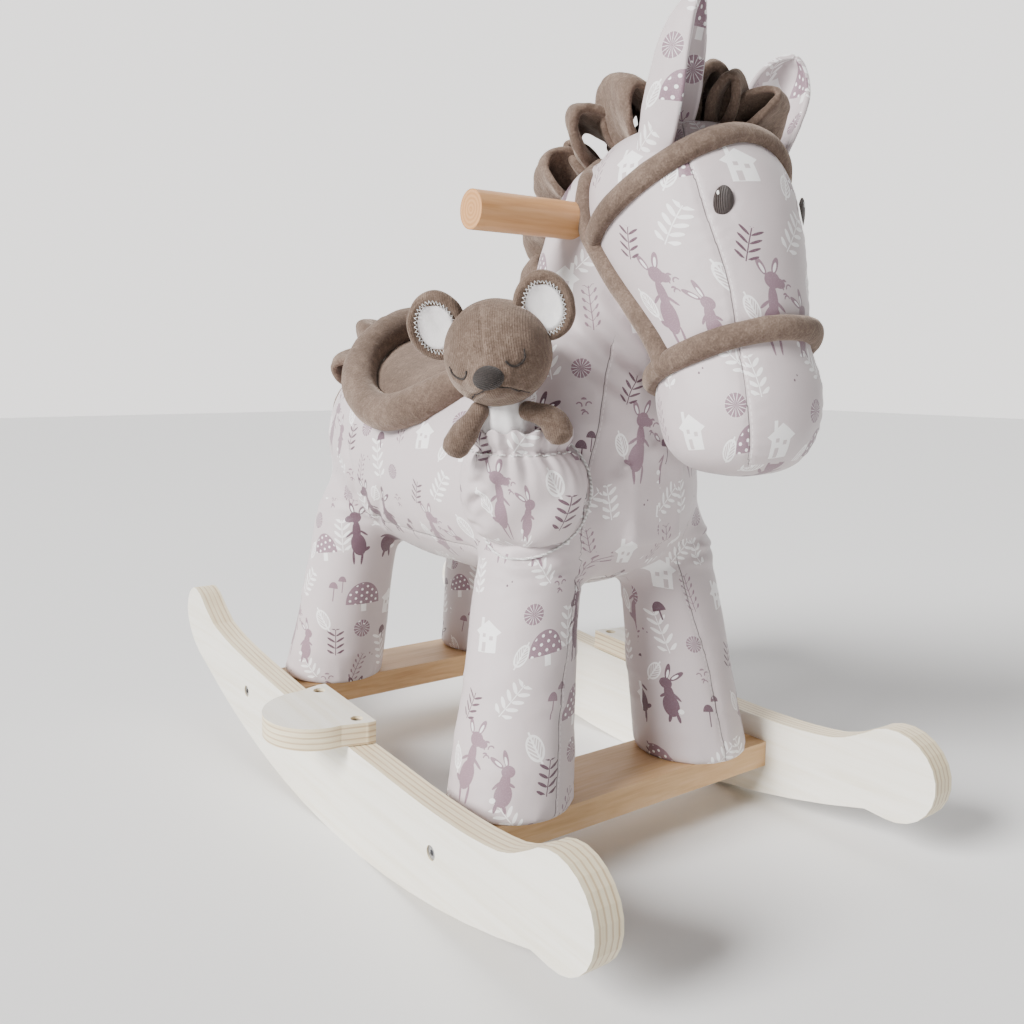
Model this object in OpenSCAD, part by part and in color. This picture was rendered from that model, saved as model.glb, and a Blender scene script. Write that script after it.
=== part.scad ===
// Plush rocking horse on two plywood rockers, with a soft mouse toy in a side pocket.
// Frame: X across the horse, the head looks along -Y, +Z up, floor at z = 0,
// origin on the floor in the middle of the length and width. Millimetres.
// Sizes below count y from the middle of the flat strip that the rockers stand on.

/* [Rockers] */
// Distance over the outer faces of the two rockers
rocker_span = 290; // [260:5:320]
// Thickness of the rocker plywood
ply_t = 18; // [15:1:21]
// Radius of the rocking arc
rock_r = 702; // [600:10:850]
// Angle between two points of the rocking arc
arc_step = 2.5; // [1.5:0.5:3]
// Half length of the flat strip under the middle of each rocker
flat_half = 22; // [15:1:30]
// Radius of the round front end of a rocker
bulb_r = 30; // [27:1:32]

/* [Cross boards] */
// Width of a cross board, front to back
board_w = 57; // [50:1:64]
// Thickness of a cross board
board_t = 18; // [15:1:20]
// Front edge of the front cross board
front_board_y = -122; // [-126:1:-118]
// Underside of the front cross board
front_board_z = 31.5; // [30:0.5:34]
// Front edge of the rear cross board
rear_board_y = 134; // [130:1:140]
// Underside of the rear cross board
rear_board_z = 48; // [46:0.5:50]

/* [Footrests] */
// Length of a footrest along the rocker
foot_l = 78; // [70:1:90]
// Reach of a footrest, from the inner face of the rocker outwards
foot_w = 60; // [50:1:66]
// Thickness of a footrest
foot_t = 15; // [12:1:18]
// Middle of the footrest along Y
foot_y = 29; // [20:1:36]
// Slope of the footrest, following the rocker's top edge
foot_tilt = 3; // [0:0.5:5]

/* [Handle] */
// Diameter of the handle dowel
handle_d = 21; // [20:0.5:24]
// Length of the handle dowel
handle_l = 238; // [220:2:250]
// Height of the handle above the floor
handle_z = 397; // [390:1:402]
// Position of the handle along Y
handle_y = -112; // [-118:1:-106]

/* [Inner frame] */
// Diameter of the wooden post inside each leg
post_d = 30; // [24:1:34]
// Thickness of the body board
spine_t = 18; // [15:1:20]
// Underside of the body board
spine_z = 212; // [208:1:216]
// Width of the neck post, across the horse
neck_post_w = 36; // [32:1:40]

/* [Mouse toy] */
// Radius of the mouse's head
mouse_head_r = 30; // [27:0.5:31]
// Radius of the mouse's body
mouse_body_r = 14; // [12:0.5:15]
// Gap between the mouse's body and the pocket
pocket_gap = 1; // [0.5:0.5:2]
// How far the mouse lifts out of the pocket
mouse_travel = 35; // [20:1:35]

/* [Hidden] */

half = rocker_span / 2;
in_x = half - ply_t;
front_top = front_board_z + board_t;
rear_top = rear_board_z + board_t;
front_mid_y = front_board_y + board_w / 2;
rear_mid_y = rear_board_y + board_w / 2;

cream = [0.94, 0.92, 0.87];
beech = [0.83, 0.67, 0.50];
pine = [0.86, 0.74, 0.56];
print_fabric = [0.86, 0.83, 0.84];
plush = [0.53, 0.45, 0.40];
steel = [0.75, 0.75, 0.77];

// ---- helpers: smooth curves through hand-set stations, and closed lofts ----
function cr(a, b, c, d, t) = 0.5 * (2*b + (c - a)*t + (2*a - 5*b + 4*c - d)*t*t + (3*b - a - 3*c + d)*t*t*t);
function dense(T, k) = let (n = len(T) - 1)
  [for (i = [0:n-1]) for (j = [0:k-1]) cr(T[max(i-1, 0)], T[i], T[i+1], T[min(i+2, n)], j/k), T[n]];
function dense_loop(T, k) = let (n = len(T))
  [for (i = [0:n-1]) for (j = [0:k-1]) cr(T[(i+n-1)%n], T[i], T[(i+1)%n], T[(i+2)%n], j/k)];
function sgn_pow(v, e) = sign(v) * pow(abs(v), e);
// a station is [x, y, z, half width along X, half depth, tilt]: tilt 0 puts the depth along Y, 90 along Z
function ring(s, n, e) = [for (i = [0:n-1]) let (q = 360*(i + 0.5)/n, u = s[3]*sgn_pow(cos(q), 2/e), v = s[4]*sgn_pow(sin(q), 2/e))
  [s[0] + u, s[1] + v*cos(s[5]), s[2] + v*sin(s[5])]];
module skin(R) {
  m = len(R); n = len(R[0]);
  polyhedron(points = [for (r = R) each r],
    faces = concat(
      [[for (i = [0:n-1]) i]],
      [for (k = [0:m-2]) for (i = [0:n-1]) each [[k*n + i, (k+1)*n + i, (k+1)*n + (i+1)%n], [k*n + i, (k+1)*n + (i+1)%n, k*n + (i+1)%n]]],
      [[for (i = [n-1:-1:0]) (m-1)*n + i]]), convexity = 6);
}
// rings listed so that the skin faces outwards for stations running along `up`
module loft(T, k = 2, n = 24, e = 2, flip = false) {
  D = dense(T, k);
  R = [for (s = D) ring(s, n, e)];
  skin(flip ? [for (i = [len(R)-1:-1:0]) R[i]] : R);
}
function unit(v) = v / norm(v);
// closed tube along an open path, round ends of small radius
function frame_x(d) = unit(cross(d, abs(d[2]) > 0.9 ? [0, 1, 0] : [0, 0, 1]));
module tube(P, r, n = 10) {
  m = len(P);
  D = [for (i = [0:m-1]) unit(P[min(i+1, m-1)] - P[max(i-1, 0)])];
  R = [for (i = [0:m-1]) let (a = frame_x(D[i]), b = cross(a, D[i]), rr = (i == 0 || i == m-1) ? r*0.6 : r)
    [for (j = [0:n-1]) P[i] + rr*cos(360*j/n)*a - rr*sin(360*j/n)*b]];
  skin(R);
}
module ring_tube(P, r, n = 10, up = [0, 0, 1]) {
  m = len(P);
  D = [for (i = [0:m-1]) unit(P[(i+1)%m] - P[(i+m-1)%m])];
  R = [for (i = [0:m-1]) let (a = unit(cross(D[i], up)), b = cross(a, D[i]))
    [for (j = [0:n-1]) P[i] + r*cos(360*j/n)*a - r*sin(360*j/n)*b]];
  polyhedron(points = [for (q = R) each q],
    faces = [for (k = [0:m-1]) for (i = [0:n-1]) let (k1 = (k+1)%m) each [[k*n + i, k1*n + i, k1*n + (i+1)%n], [k*n + i, k1*n + (i+1)%n, k*n + (i+1)%n]]], convexity = 6);
}
module mirror_x(side) { if (side > 0) mirror([1, 0, 0]) children(); else children(); }

// ---- rockers ----
arc_z = function (y) rock_r - sqrt(rock_r*rock_r - y*y);
arc_a0 = -asin(204 / rock_r);
arc_n = floor((asin(276 / rock_r) - arc_a0) / arc_step);
arc_pts = [for (i = [0:arc_n]) let (a = arc_a0 + i*arc_step, y = rock_r*sin(a)) if (abs(y) > flat_half + 8) [y, arc_z(y)]];
flat_pts = [[-flat_half, arc_z(flat_half)], [flat_half, arc_z(flat_half)]];
low_pts = concat([for (p = arc_pts) if (p[0] < 0) p], flat_pts, [for (p = arc_pts) if (p[0] > 0) p]);
rear_tip = dense([[276, 56.5], [293, 63], [309, 74], [319, 92], [314, 109], [299, 119], [283, 116], [268, 106], [250, 96]], 3);
top_edge = dense([[250, 96], [222, 89.5], [187, 84.5], [150, 80.5], [105, 76.5], [60, 73], [10, 70.5], [-40, 68.5], [-84, 66.5], [-120, 66], [-150, 67], [-176, 70], [-190, 75]], 2);
front_end = [for (a = [50:15:275]) [-222 + bulb_r*cos(a), 59 + bulb_r*sin(a)]];
rocker_outline = concat(low_pts, rear_tip, [for (i = [1:len(top_edge)-1]) top_edge[i]], front_end);
outline_y = [for (p = rocker_outline) p[0]];
mid_y = (min(outline_y) + max(outline_y)) / 2;
foot_top_z = 72.4;
// puts the origin on the floor, in the middle of the horse's length
module home() translate([0, -mid_y, -arc_z(flat_half)]) children();
module rocker_plate(side) {
  // outline drawn in the YZ plane, extruded across X
  translate([side > 0 ? in_x : -half, 0, 0]) rotate([90, 0, 90]) linear_extrude(ply_t) polygon(rocker_outline);
}
module bolt_axes() { for (s = [-1, 1], b = [0, 1]) translate([s*half, b == 0 ? front_board_y + 13 : rear_board_y + board_w - 15, (b == 0 ? front_board_z : rear_board_z) + board_t/2]) rotate([0, -90*s, 0]) children(); }
module foot_screw_axes() { for (s = [-1, 1], q = [-29, 29]) translate([s*(half - ply_t/2), foot_y, foot_top_z]) rotate([foot_tilt, 0, 0]) translate([0, q, 0]) children(); }
module rocker(side) {
  color(cream) difference() {
    rocker_plate(side);
    // seat for the footrest, cut along its underside
    translate([side*(half - ply_t/2), foot_y, foot_top_z]) rotate([foot_tilt, 0, 0]) translate([-20, -foot_l/2, 0]) cube([40, foot_l, 30]);
    bolt_axes() translate([0, 0, -1]) cylinder(d = 9, h = 6);
    bolt_axes() cylinder(d = 6, h = 40);
    foot_screw_axes() translate([0, 0, -28]) cylinder(d = 4, h = 30);
    for (b = [0, 1], q = [-1, 1]) translate([side*(in_x + 12), dowel_y(b, q), dowel_z(b)]) rotate([0, -90*side, 0]) cylinder(d = 8, h = 20);
  }
}
function dowel_y(b, q) = (b == 0 ? front_mid_y + 5 : rear_mid_y - 5) + q*9;
function dowel_z(b) = (b == 0 ? front_board_z : rear_board_z) + board_t/2;
module rocker_right() rocker(-1);
module rocker_left() rocker(1);

// ---- cross boards ----
module cross_board(b) {
  y0 = b == 0 ? front_board_y : rear_board_y;
  z0 = b == 0 ? front_board_z : rear_board_z;
  color(beech) difference() {
    translate([-in_x, y0, z0]) cube([2*in_x, board_w, board_t]);
    bolt_axes() cylinder(d = 6, h = 58);
    for (s = [-1, 1]) translate([s*(in_x - 22), b == 0 ? front_board_y + 13 : rear_board_y + board_w - 15, z0 - 1]) cylinder(d = 10, h = board_t - 1);
    for (s = [-1, 1], q = [-1, 1]) translate([s*(in_x + 12), dowel_y(b, q), dowel_z(b)]) rotate([0, -90*s, 0]) cylinder(d = 8, h = 34);
    for (s = [-1, 1]) translate([s*leg_x(b), leg_base_y(b), z0 - 1]) cylinder(d = 6.6, h = 30);
    for (s = [-1, 1]) translate([s*leg_x(b), leg_base_y(b), z0 - 1]) cylinder(d = 16, h = 6);
  }
}
module front_cross_board() cross_board(0);
module rear_cross_board() cross_board(1);
module board_dowels() color(pine) for (b = [0, 1], s = [-1, 1], q = [-1, 1])
  translate([s*(in_x + 12), dowel_y(b, q), dowel_z(b)]) rotate([0, -90*s, 0]) cylinder(d = 8, h = 32);
module rocker_bolts() color(steel) bolt_axes() difference() {
  union() { translate([0, 0, 0.8]) cylinder(d = 8.6, h = 4.2); translate([0, 0, 4]) cylinder(d = 5.8, h = 48); }
  cylinder(d = 4, h = 3, $fn = 6);
}
module barrel_nuts() color(steel) for (b = [0, 1], s = [-1, 1]) difference() {
  translate([s*(in_x - 22), b == 0 ? front_board_y + 13 : rear_board_y + board_w - 15, (b == 0 ? front_board_z : rear_board_z) + 2]) cylinder(d = 9.8, h = board_t - 5);
  bolt_axes() cylinder(d = 5.8, h = 58);
}

// ---- footrests ----
module footrest(side) {
  color(cream) difference() {
    translate([0, foot_y, foot_top_z]) rotate([foot_tilt, 0, 0]) mirror_x(side)
      translate([-in_x, 0, 0]) linear_extrude(foot_t) union() {
        translate([-foot_w + foot_l*0.44, 0]) intersection() { circle(r = foot_l*0.44); translate([-60, -60]) square([60, 120]); }
        translate([-foot_w + foot_l*0.44, -foot_l*0.44]) square([foot_w - foot_l*0.44, foot_l*0.88]);
        for (q = [-1, 1]) translate([-foot_l*0.06, q*foot_l*0.44]) circle(r = foot_l*0.06);
        translate([-foot_l*0.06, -foot_l/2]) square([foot_l*0.06, foot_l]);
        for (q = [-1, 1]) mirror([0, q > 0 ? 0 : 1]) polygon([[-foot_l*0.06, foot_l*0.5], [-foot_w + foot_l*0.44 + 3, foot_l*0.44], [-foot_l*0.06, foot_l*0.3]]);
      }
    foot_screw_axes() translate([0, 0, -1]) cylinder(d = 4.4, h = 30);
    foot_screw_axes() translate([0, 0, foot_t - 5]) cylinder(d = 8.4, h = 10);
  }
}
module footrest_right() footrest(-1);
module footrest_left() footrest(1);
module footrest_screws() color(steel) foot_screw_axes() difference() {
  union() { translate([0, 0, -26]) cylinder(d = 4, h = 26.5); translate([0, 0, 0]) cylinder(d = 4, h = foot_t - 4.5); translate([0, 0, foot_t - 5]) cylinder(d = 8, h = 2.6); }
  translate([0, 0, foot_t - 4]) cylinder(d = 3, h = 4, $fn = 6);
}

// ---- inner frame ----
function leg_x(b) = b == 0 ? 78 : 75;
function leg_base_y(b) = b == 0 ? -93 : 161;
function leg_top_x(b) = b == 0 ? 54 : 58;
function leg_top_y(b) = b == 0 ? -82 : 142;
function post_len(b) = spine_z - (b == 0 ? front_top : rear_top);
// a post leans from the middle of its board to the body board; its ends are cut level
module post_form(b, s) {
  z0 = b == 0 ? front_top : rear_top;
  hull() {
    translate([s*leg_x(b), leg_base_y(b), z0]) cylinder(d = post_d, h = 1, $fn = 32);
    translate([s*leg_top_x(b), leg_top_y(b), spine_z - 1]) cylinder(d = post_d, h = 1, $fn = 32);
  }
}
module posts(b) color(pine) for (s = [-1, 1]) difference() {
  post_form(b, s);
  translate([s*leg_x(b), leg_base_y(b), 0]) cylinder(d = 5, h = (b == 0 ? front_top : rear_top) + 32);
  translate([s*leg_top_x(b), leg_top_y(b), spine_z - 30]) cylinder(d = 4, h = 40);
}
module front_leg_posts() posts(0);
module rear_leg_posts() posts(1);
module post_bolts() color(steel) for (b = [0, 1], s = [-1, 1]) translate([s*leg_x(b), leg_base_y(b), b == 0 ? front_board_z : rear_board_z]) difference() {
  union() { translate([0, 0, 0.6]) cylinder(d = 13, h = 4.4); translate([0, 0, 4]) cylinder(d = 5, h = board_t + 26); }
  cylinder(d = 4.5, h = 3, $fn = 6);
}
module spine_form() translate([0, 0, spine_z]) linear_extrude(spine_t) union() {
  translate([-66, -76]) square([132, 210]); translate([-36, -106]) square([72, 270]);
  for (s = [-1, 1], y = [-76, 134]) translate([s*36, y]) circle(r = 30);
}
module body_board() color(pine) difference() {
  spine_form();
  translate([-neck_post_w/2, -132, 0]) cube([neck_post_w, 40, 400]);
  for (b = [0, 1], s = [-1, 1]) translate([s*leg_top_x(b), leg_top_y(b), spine_z - 1]) cylinder(d = 4.4, h = 40);
  for (b = [0, 1], s = [-1, 1]) translate([s*leg_top_x(b), leg_top_y(b), spine_z + spine_t - 4]) cylinder(d = 8.4, h = 40);
  for (q = [-9, 9]) translate([q, -60, spine_z + spine_t/2]) rotate([90, 0, 0]) cylinder(d = 4, h = 62);
}
module body_board_screws() color(steel) for (b = [0, 1], s = [-1, 1]) translate([s*leg_top_x(b), leg_top_y(b), spine_z]) union() {
  translate([0, 0, -28]) cylinder(d = 4, h = 28 + spine_t - 3); translate([0, 0, spine_t - 4]) cylinder(d = 8, h = 3);
}
module neck_post() color(pine) difference() {
  translate([-neck_post_w/2, -132, spine_z]) cube([neck_post_w, 40, 212]);
  translate([-100, handle_y, handle_z]) rotate([0, 90, 0]) cylinder(d = handle_d, h = 200);
  translate([0, handle_y - 22, handle_z]) rotate([-90, 0, 0]) cylinder(d = 4, h = 24);
  for (q = [-9, 9]) translate([q, -60, spine_z + spine_t/2]) rotate([90, 0, 0]) cylinder(d = 4, h = 62);
}
module neck_post_screws() color(steel) for (q = [-9, 9]) translate([q, -62, spine_z + spine_t/2]) rotate([90, 0, 0]) cylinder(d = 4, h = 58);
module handle() color([0.88, 0.72, 0.55]) difference() {
  translate([-handle_l/2, handle_y, handle_z]) rotate([0, 90, 0]) cylinder(d = handle_d, h = handle_l);
  translate([0, handle_y - 12, handle_z]) rotate([-90, 0, 0]) cylinder(d = 4, h = 20);
}
module handle_screw() color(steel) translate([0, handle_y - 20, handle_z]) rotate([-90, 0, 0]) cylinder(d = 4, h = 27);

// ---- stuffed body ----
torso_t = [[0, -137, 236, 8, 8, 90], [0, -134, 236, 26, 22, 90], [0, -124, 237, 45, 38, 90], [0, -105, 239, 66, 55, 90], [0, -70, 242, 84, 69, 90], [0, -20, 244, 92, 75, 90],
  [0, 40, 247, 92, 78, 90], [0, 88, 251, 91, 80, 90], [0, 128, 255, 86, 78, 90], [0, 166, 257, 73, 69, 90], [0, 194, 257, 53, 52, 90], [0, 211, 256, 33, 32, 90], [0, 219, 255, 8, 8, 90]];
module torso_form(g = 0) loft([for (q = torso_t) [q[0], q[1], q[2], q[3] + g, q[4] + g, q[5]]], 2, 26, 2.1, true);
module neck_form() loft([[0, -64, 236, 62, 48, 0], [0, -70, 262, 74, 64, 0], [0, -80, 295, 67, 60, 0], [0, -88, 325, 61, 56, 0], [0, -96, 355, 56, 52, 0], [0, -103, 385, 52, 49, 0], [0, -111, 412, 46, 44, 0], [0, -117, 430, 34, 34, 0], [0, -120, 436, 10, 10, 0]], 2, 22, 2, false);
head_t = [[0, -197, 256, 7, 7, 0], [0, -197, 260, 25, 25, 0], [0, -197, 270, 37, 37, 0], [0, -197, 287, 43, 42.5, 0], [0, -195, 306, 44, 43.5, 0], [0, -188, 325, 42.5, 43.5, 0], [0, -178, 346, 47, 50, 0],
  [0, -167, 368, 51.5, 57, 0], [0, -158, 390, 54.5, 62, 0], [0, -153, 410, 53, 60, 0], [0, -150, 427, 46, 53, 0], [0, -149, 439, 35, 41, 0], [0, -149, 446, 20, 24, 0], [0, -149, 448, 7, 7, 0]];
module head_form() loft(head_t, 2, 26, 2.1, false);
// a point on the head's skin at height z, turned q degrees (270 faces forwards), lifted by g
head_d = dense(head_t, 2);
function hat(z, k) = lookup(z, [for (q = head_d) [q[2], q[k]]]);
function head_pt(z, q, g = 0) = [(hat(z, 3) + g)*sgn_pow(cos(q), 2/2.1), hat(z, 1) + (hat(z, 4) + g)*sgn_pow(sin(q), 2/2.1), z];
// a point on the trunk's skin at y, turned q degrees from the top, lifted by g
torso_d = dense(torso_t, 2);
function tat(y, k) = lookup(y, [for (q = torso_d) [q[1], q[k]]]);
function torso_pt(y, q, g = 0) = [(tat(y, 3) + g)*sgn_pow(sin(q), 2/2.1), y, tat(y, 2) + (tat(y, 4) + g)*sgn_pow(cos(q), 2/2.1)];
module leg_form(b, s) {
  z0 = b == 0 ? front_top : rear_top;
  x0 = leg_x(b); y0 = leg_base_y(b); y1 = leg_top_y(b); x1 = leg_top_x(b);
  loft(b == 0 ? [[s*x0, y0, z0, 38, 39, 0], [s*x0, y0, z0 + 6, 39, 40, 0], [s*(x0 - 6), y0 + 3, z0 + 45, 37, 37.5, 0], [s*(x0 - 13), y0 + 6, z0 + 95, 34, 34, 0], [s*(x0 - 20), y0 + 9, z0 + 140, 32, 32, 0], [s*(x0 - 27), y0 + 10, z0 + 172, 29, 29, 0], [s*(x0 - 32), y0 + 12, z0 + 188, 20, 20, 0]]
    : [[s*x0, y0, z0, 38, 39, 0], [s*x0, y0, z0 + 6, 39, 40, 0], [s*(x0 - 4), y0 - 6, z0 + 38, 37, 37.5, 0], [s*(x0 - 8), y0 - 13, z0 + 80, 35, 35, 0], [s*(x0 - 12), y0 - 20, z0 + 122, 33, 35, 0], [s*(x0 - 18), y0 - 24, z0 + 154, 29, 32, 0], [s*(x0 - 24), y0 - 24, z0 + 172, 20, 22, 0]], 2, 20, 2, false);
}
module neck_post_form() translate([-neck_post_w/2, -132, spine_z]) cube([neck_post_w, 40, 212]);
module handle_form() translate([-handle_l/2, handle_y, handle_z]) rotate([0, 90, 0]) cylinder(d = handle_d, h = handle_l);
module frame_space() { spine_form(); neck_post_form(); for (b = [0, 1], s = [-1, 1]) post_form(b, s); }
module torso() color(print_fabric) difference() { torso_form(); for (b = [0, 1], s = [-1, 1]) leg_form(b, s); frame_space(); mouse_channel(); }
module neck() color(print_fabric) difference() { neck_form(); torso_form(); head_form(); neck_post_form(); handle_form(); mouse_channel(); }
module head() color(print_fabric) difference() { head_form(); neck_post_form(); handle_form(); handle_screw(); }
module leg(b, s) color(print_fabric) difference() { leg_form(b, s); post_form(b, s); spine_form(); if (b == 0 && s < 0) mouse_channel(); }
module leg_front_right() leg(0, -1);
module leg_front_left() leg(0, 1);
module leg_rear_right() leg(1, -1);
module leg_rear_left() leg(1, 1);

// ---- ears, eyes, mane, tail ----
module ear_form(side) loft(side < 0 ? [[-33, -160, 432, 12, 13, 0], [-36, -165, 447, 15.5, 14, 0], [-37, -172, 462, 15, 12, 0], [-36, -182, 480, 12.5, 9.5, 0], [-36, -189, 493, 8.5, 7, 0], [-36, -192, 501, 2.5, 2.5, 0]]
  : [[36, -160, 428, 13, 12, 0], [43, -164, 442, 15.5, 13, 0], [54, -165, 459, 15, 12, 0], [65, -164, 476, 13, 10.5, 0], [73, -163, 489, 9, 8, 0], [77, -162, 496, 3, 3, 0]], 2, 16, 2, false);
module ear(side) color(print_fabric) difference() { ear_form(side); head_form(); }
module ear_right() ear(-1);
module ear_left() ear(1);
module eyes() color([0.25, 0.19, 0.17]) for (s = [-1, 1]) difference() {
  translate(head_pt(397, 270 + s*33, 0)) rotate([0, 0, s*30]) scale([5.4, 1.8, 8.2]) sphere(r = 1, $fn = 40);
  head_form();
}
// ruffled plush strip along the crest of the neck
mane_t = [[0, -150, 455, 13, 8, 100], [0, -132, 462, 20, 17, 90], [0, -104, 466, 24, 20, 75], [0, -74, 456, 25, 20, 50], [0, -52, 432, 24, 19, 28], [0, -40, 402, 23, 18, 14], [0, -33, 370, 21, 16, 10], [0, -26, 342, 17, 12, 14], [0, -20, 326, 8, 6, 20]];
module mane_form() loft(mane_t, 2, 16, 2.2, true);
module mane() color(plush) difference() { mane_form(); neck_form(); head_form(); torso_form(); }
module forelock_form() loft([[6, -210, 443, 8, 5, 60], [6, -202, 451, 15, 11, 60], [6, -186, 461, 17, 16, 75], [6, -168, 466, 16, 17, 90], [4, -154, 463, 10, 9, 90]], 2, 16, 2.2, true);
module forelock() color(plush) difference() { forelock_form(); head_form(); mane_form(); }
module tail_form() loft([[-4, 138, 342, 10, 7, 85], [-5, 152, 344, 20, 13, 80], [-7, 182, 337, 24, 15, 58], [-8, 208, 316, 24, 16, 38], [-7, 226, 288, 23, 16, 16], [-4, 234, 256, 20, 14, 4], [-2, 234, 229, 15, 11, -2], [-2, 232, 214, 6, 5, -5]], 2, 16, 2.2, true);
module tail() color(plush) difference() { tail_form(); torso_form(); saddle_roll_form(); }

// ---- saddle ----
function saddle_pt(f, k, g) = torso_pt(42 + 80*k*cos(f), 66*k*sin(f), g);
saddle_path = [for (i = [0:35]) let (f = i*10) saddle_pt(f, 1, 9 + 6*cos(f))];
module saddle_roll_form() ring_tube(saddle_path, 13, 10);
module saddle_pad_form() skin(concat([for (k = [0.05, 0.35, 0.65, 0.95]) [for (i = [29:-1:0]) saddle_pt(i*12, k, 0.6)]], [for (k = [0.95, 0.65, 0.35, 0.05]) [for (i = [29:-1:0]) saddle_pt(i*12, k, 7)]]));
module saddle_pad() color(plush) difference() { saddle_pad_form(); saddle_roll_form(); torso_form(); mane_form(); }
module saddle_roll() color(plush) difference() { saddle_roll_form(); torso_form(); neck_form(); mane_form(); }

// ---- bridle ----
module noseband_form() ring_tube([for (i = [0:29]) let (q = i*12) head_pt(319 - 16*sin(q), q, 0.5)], 5.2, 10);
module cheek_half_form() tube(concat([for (i = [0:10]) let (f = i/10) head_pt(306 + 112*f, 170 - 28*f, 1)], [for (i = [1:5]) let (f = i/5) head_pt(418 + 12*f, 142 - 24*f, 1)]), 5.2, 10);
module cheek_strap_form() { cheek_half_form(); mirror([1, 0, 0]) cheek_half_form(); }
module browband_form() {
  H = [for (i = [0:12]) let (f = i/12) head_pt(396 + 40*sin(90*f), 172 + 98*f, 1)];
  tube(concat(H, [for (i = [len(H)-2:-1:0]) [-H[i][0], H[i][1], H[i][2]]]), 5.5, 10);
}
module noseband() color(plush) difference() { noseband_form(); head_form(); }
module cheek_strap() color(plush) difference() { cheek_strap_form(); head_form(); neck_form(); noseband_form(); mane_form(); handle_form(); }
module browband() color(plush) difference() { browband_form(); head_form(); cheek_strap_form(); forelock_form(); ear_form(-1); ear_form(1); }

// ---- mouse toy: it lifts out of the pocket along mouse_axis ----
mouse_head_c = [-104, -116, 322];
pocket_n = [-0.819, -0.574, 0];
pocket_s = [0.574, -0.819, 0];
pocket_c = [-75, -100, 0];
mouse_axis = unit([-0.28, -0.196, 0.94]);
face_y = -unit([-0.665, -0.67, -0.333]);
ear_z = unit(cross([0.788, -0.571, 0.237], face_y));
ear_x = cross(face_y, ear_z);
function on_axis(d) = mouse_head_c + d*mouse_axis;
module along_axis(d) translate(on_axis(d)) rotate([0, acos(mouse_axis[2]), atan2(mouse_axis[1], mouse_axis[0])]) children();
module capsule(r, d0, d1) { along_axis(d0) sphere(r = r, $fn = 48); along_axis(d0) cylinder(r = r, h = d1 - d0, $fn = 48); }
module mouse_channel() { capsule(mouse_body_r + pocket_gap, -92, -20); }
// head frame: x to the mouse's left ear, -y out of its face, z to the top of its head
module in_head() multmatrix([[ear_x[0], face_y[0], ear_z[0], mouse_head_c[0]], [ear_x[1], face_y[1], ear_z[1], mouse_head_c[1]], [ear_x[2], face_y[2], ear_z[2], mouse_head_c[2]], [0, 0, 0, 1]]) children();
module mouse_head_form() { in_head() { sphere(r = mouse_head_r, $fn = 60); translate([0, -15, -3]) sphere(r = 18.5, $fn = 48); } }
module mouse_nose_form() in_head() translate([0, -32, -3.5]) scale([8.4, 5, 6.4]) sphere(r = 1, $fn = 36);
module mouse_ear_form(s) in_head() translate([s*30, 3, 20]) rotate([90, 0, 0]) scale([0.86, 1, 1]) cylinder(r = 19, h = 6, center = true, $fn = 40);
module mouse_head() color(plush) mouse_head_form();
module mouse_nose() color([0.24, 0.21, 0.20]) difference() { mouse_nose_form(); mouse_head_form(); }
module mouse_ears() color(plush) for (s = [-1, 1]) difference() { mouse_ear_form(s); mouse_head_form(); mouse_lining_form(s); }
module mouse_lining_form(s) in_head() translate([s*31, 0.5, 20]) rotate([90, 0, 0]) scale([0.78, 1, 1]) cylinder(r = 12.5, h = 2, $fn = 36);
module mouse_ear_linings() color([0.95, 0.94, 0.95]) for (s = [-1, 1]) difference() { mouse_lining_form(s); mouse_head_form(); }
module mouse_body() color([0.95, 0.95, 0.96]) difference() { capsule(mouse_body_r, -91, -18); mouse_head_form(); }
module arm_form(a, b) { hull() { translate(a) sphere(r = 7.5, $fn = 24); translate(b) sphere(r = 7.5, $fn = 24); } }
module mouse_arms() color(plush) difference() {
  union() { arm_form(mouse_head_c + [-9, 8, -34], mouse_head_c + [-17, 14, -49]); arm_form(mouse_head_c + [12, -13, -34], mouse_head_c + [25, -21, -42]); }
  capsule(mouse_body_r, -91, -18); mouse_head_form();
}
// pocket: stations are [height, half width, how far it stands out]
pocket_t = [[211, 10, 5], [216, 24, 12], [228, 34, 19], [243, 38, 25], [256, 36, 30], [266, 29, 33.5], [273, 24, 35]];
module pocket_form() skin([for (q = dense(pocket_t, 2)) [for (i = [0:27]) let (w = -360*(i + 0.5)/28) pocket_c + [0, 0, q[0]] + q[1]*cos(w)*pocket_s + q[2]*sin(w)*pocket_n]]);
module pocket() color(print_fabric) difference() { pocket_form(); torso_form(); neck_form(); leg_form(0, -1); mouse_channel(); }

home() rocker_right();
home() rocker_left();
home() front_cross_board();
home() rear_cross_board();
home() footrest_right();
home() footrest_left();
home() footrest_screws();
home() rocker_bolts();
home() barrel_nuts();
home() board_dowels();
home() front_leg_posts();
home() rear_leg_posts();
home() post_bolts();
home() body_board();
home() body_board_screws();
home() neck_post();
home() neck_post_screws();
home() handle();
home() handle_screw();
home() torso();
home() neck();
home() head();
home() leg_front_right();
home() leg_front_left();
home() leg_rear_right();
home() leg_rear_left();
home() ear_right();
home() ear_left();
home() eyes();
home() mane();
home() forelock();
home() tail();
home() saddle_pad();
home() saddle_roll();
home() noseband();
home() browband();
home() cheek_strap();
home() pocket();
home() mouse_head();
home() mouse_body();
home() mouse_arms();
home() mouse_ears();
home() mouse_ear_linings();
home() mouse_nose();
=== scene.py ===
# Rocking horse: the looks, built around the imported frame.
import math

import bmesh
import bpy
import numpy as np
from mathutils import Matrix, Vector
from mathutils.bvhtree import BVHTree


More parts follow.
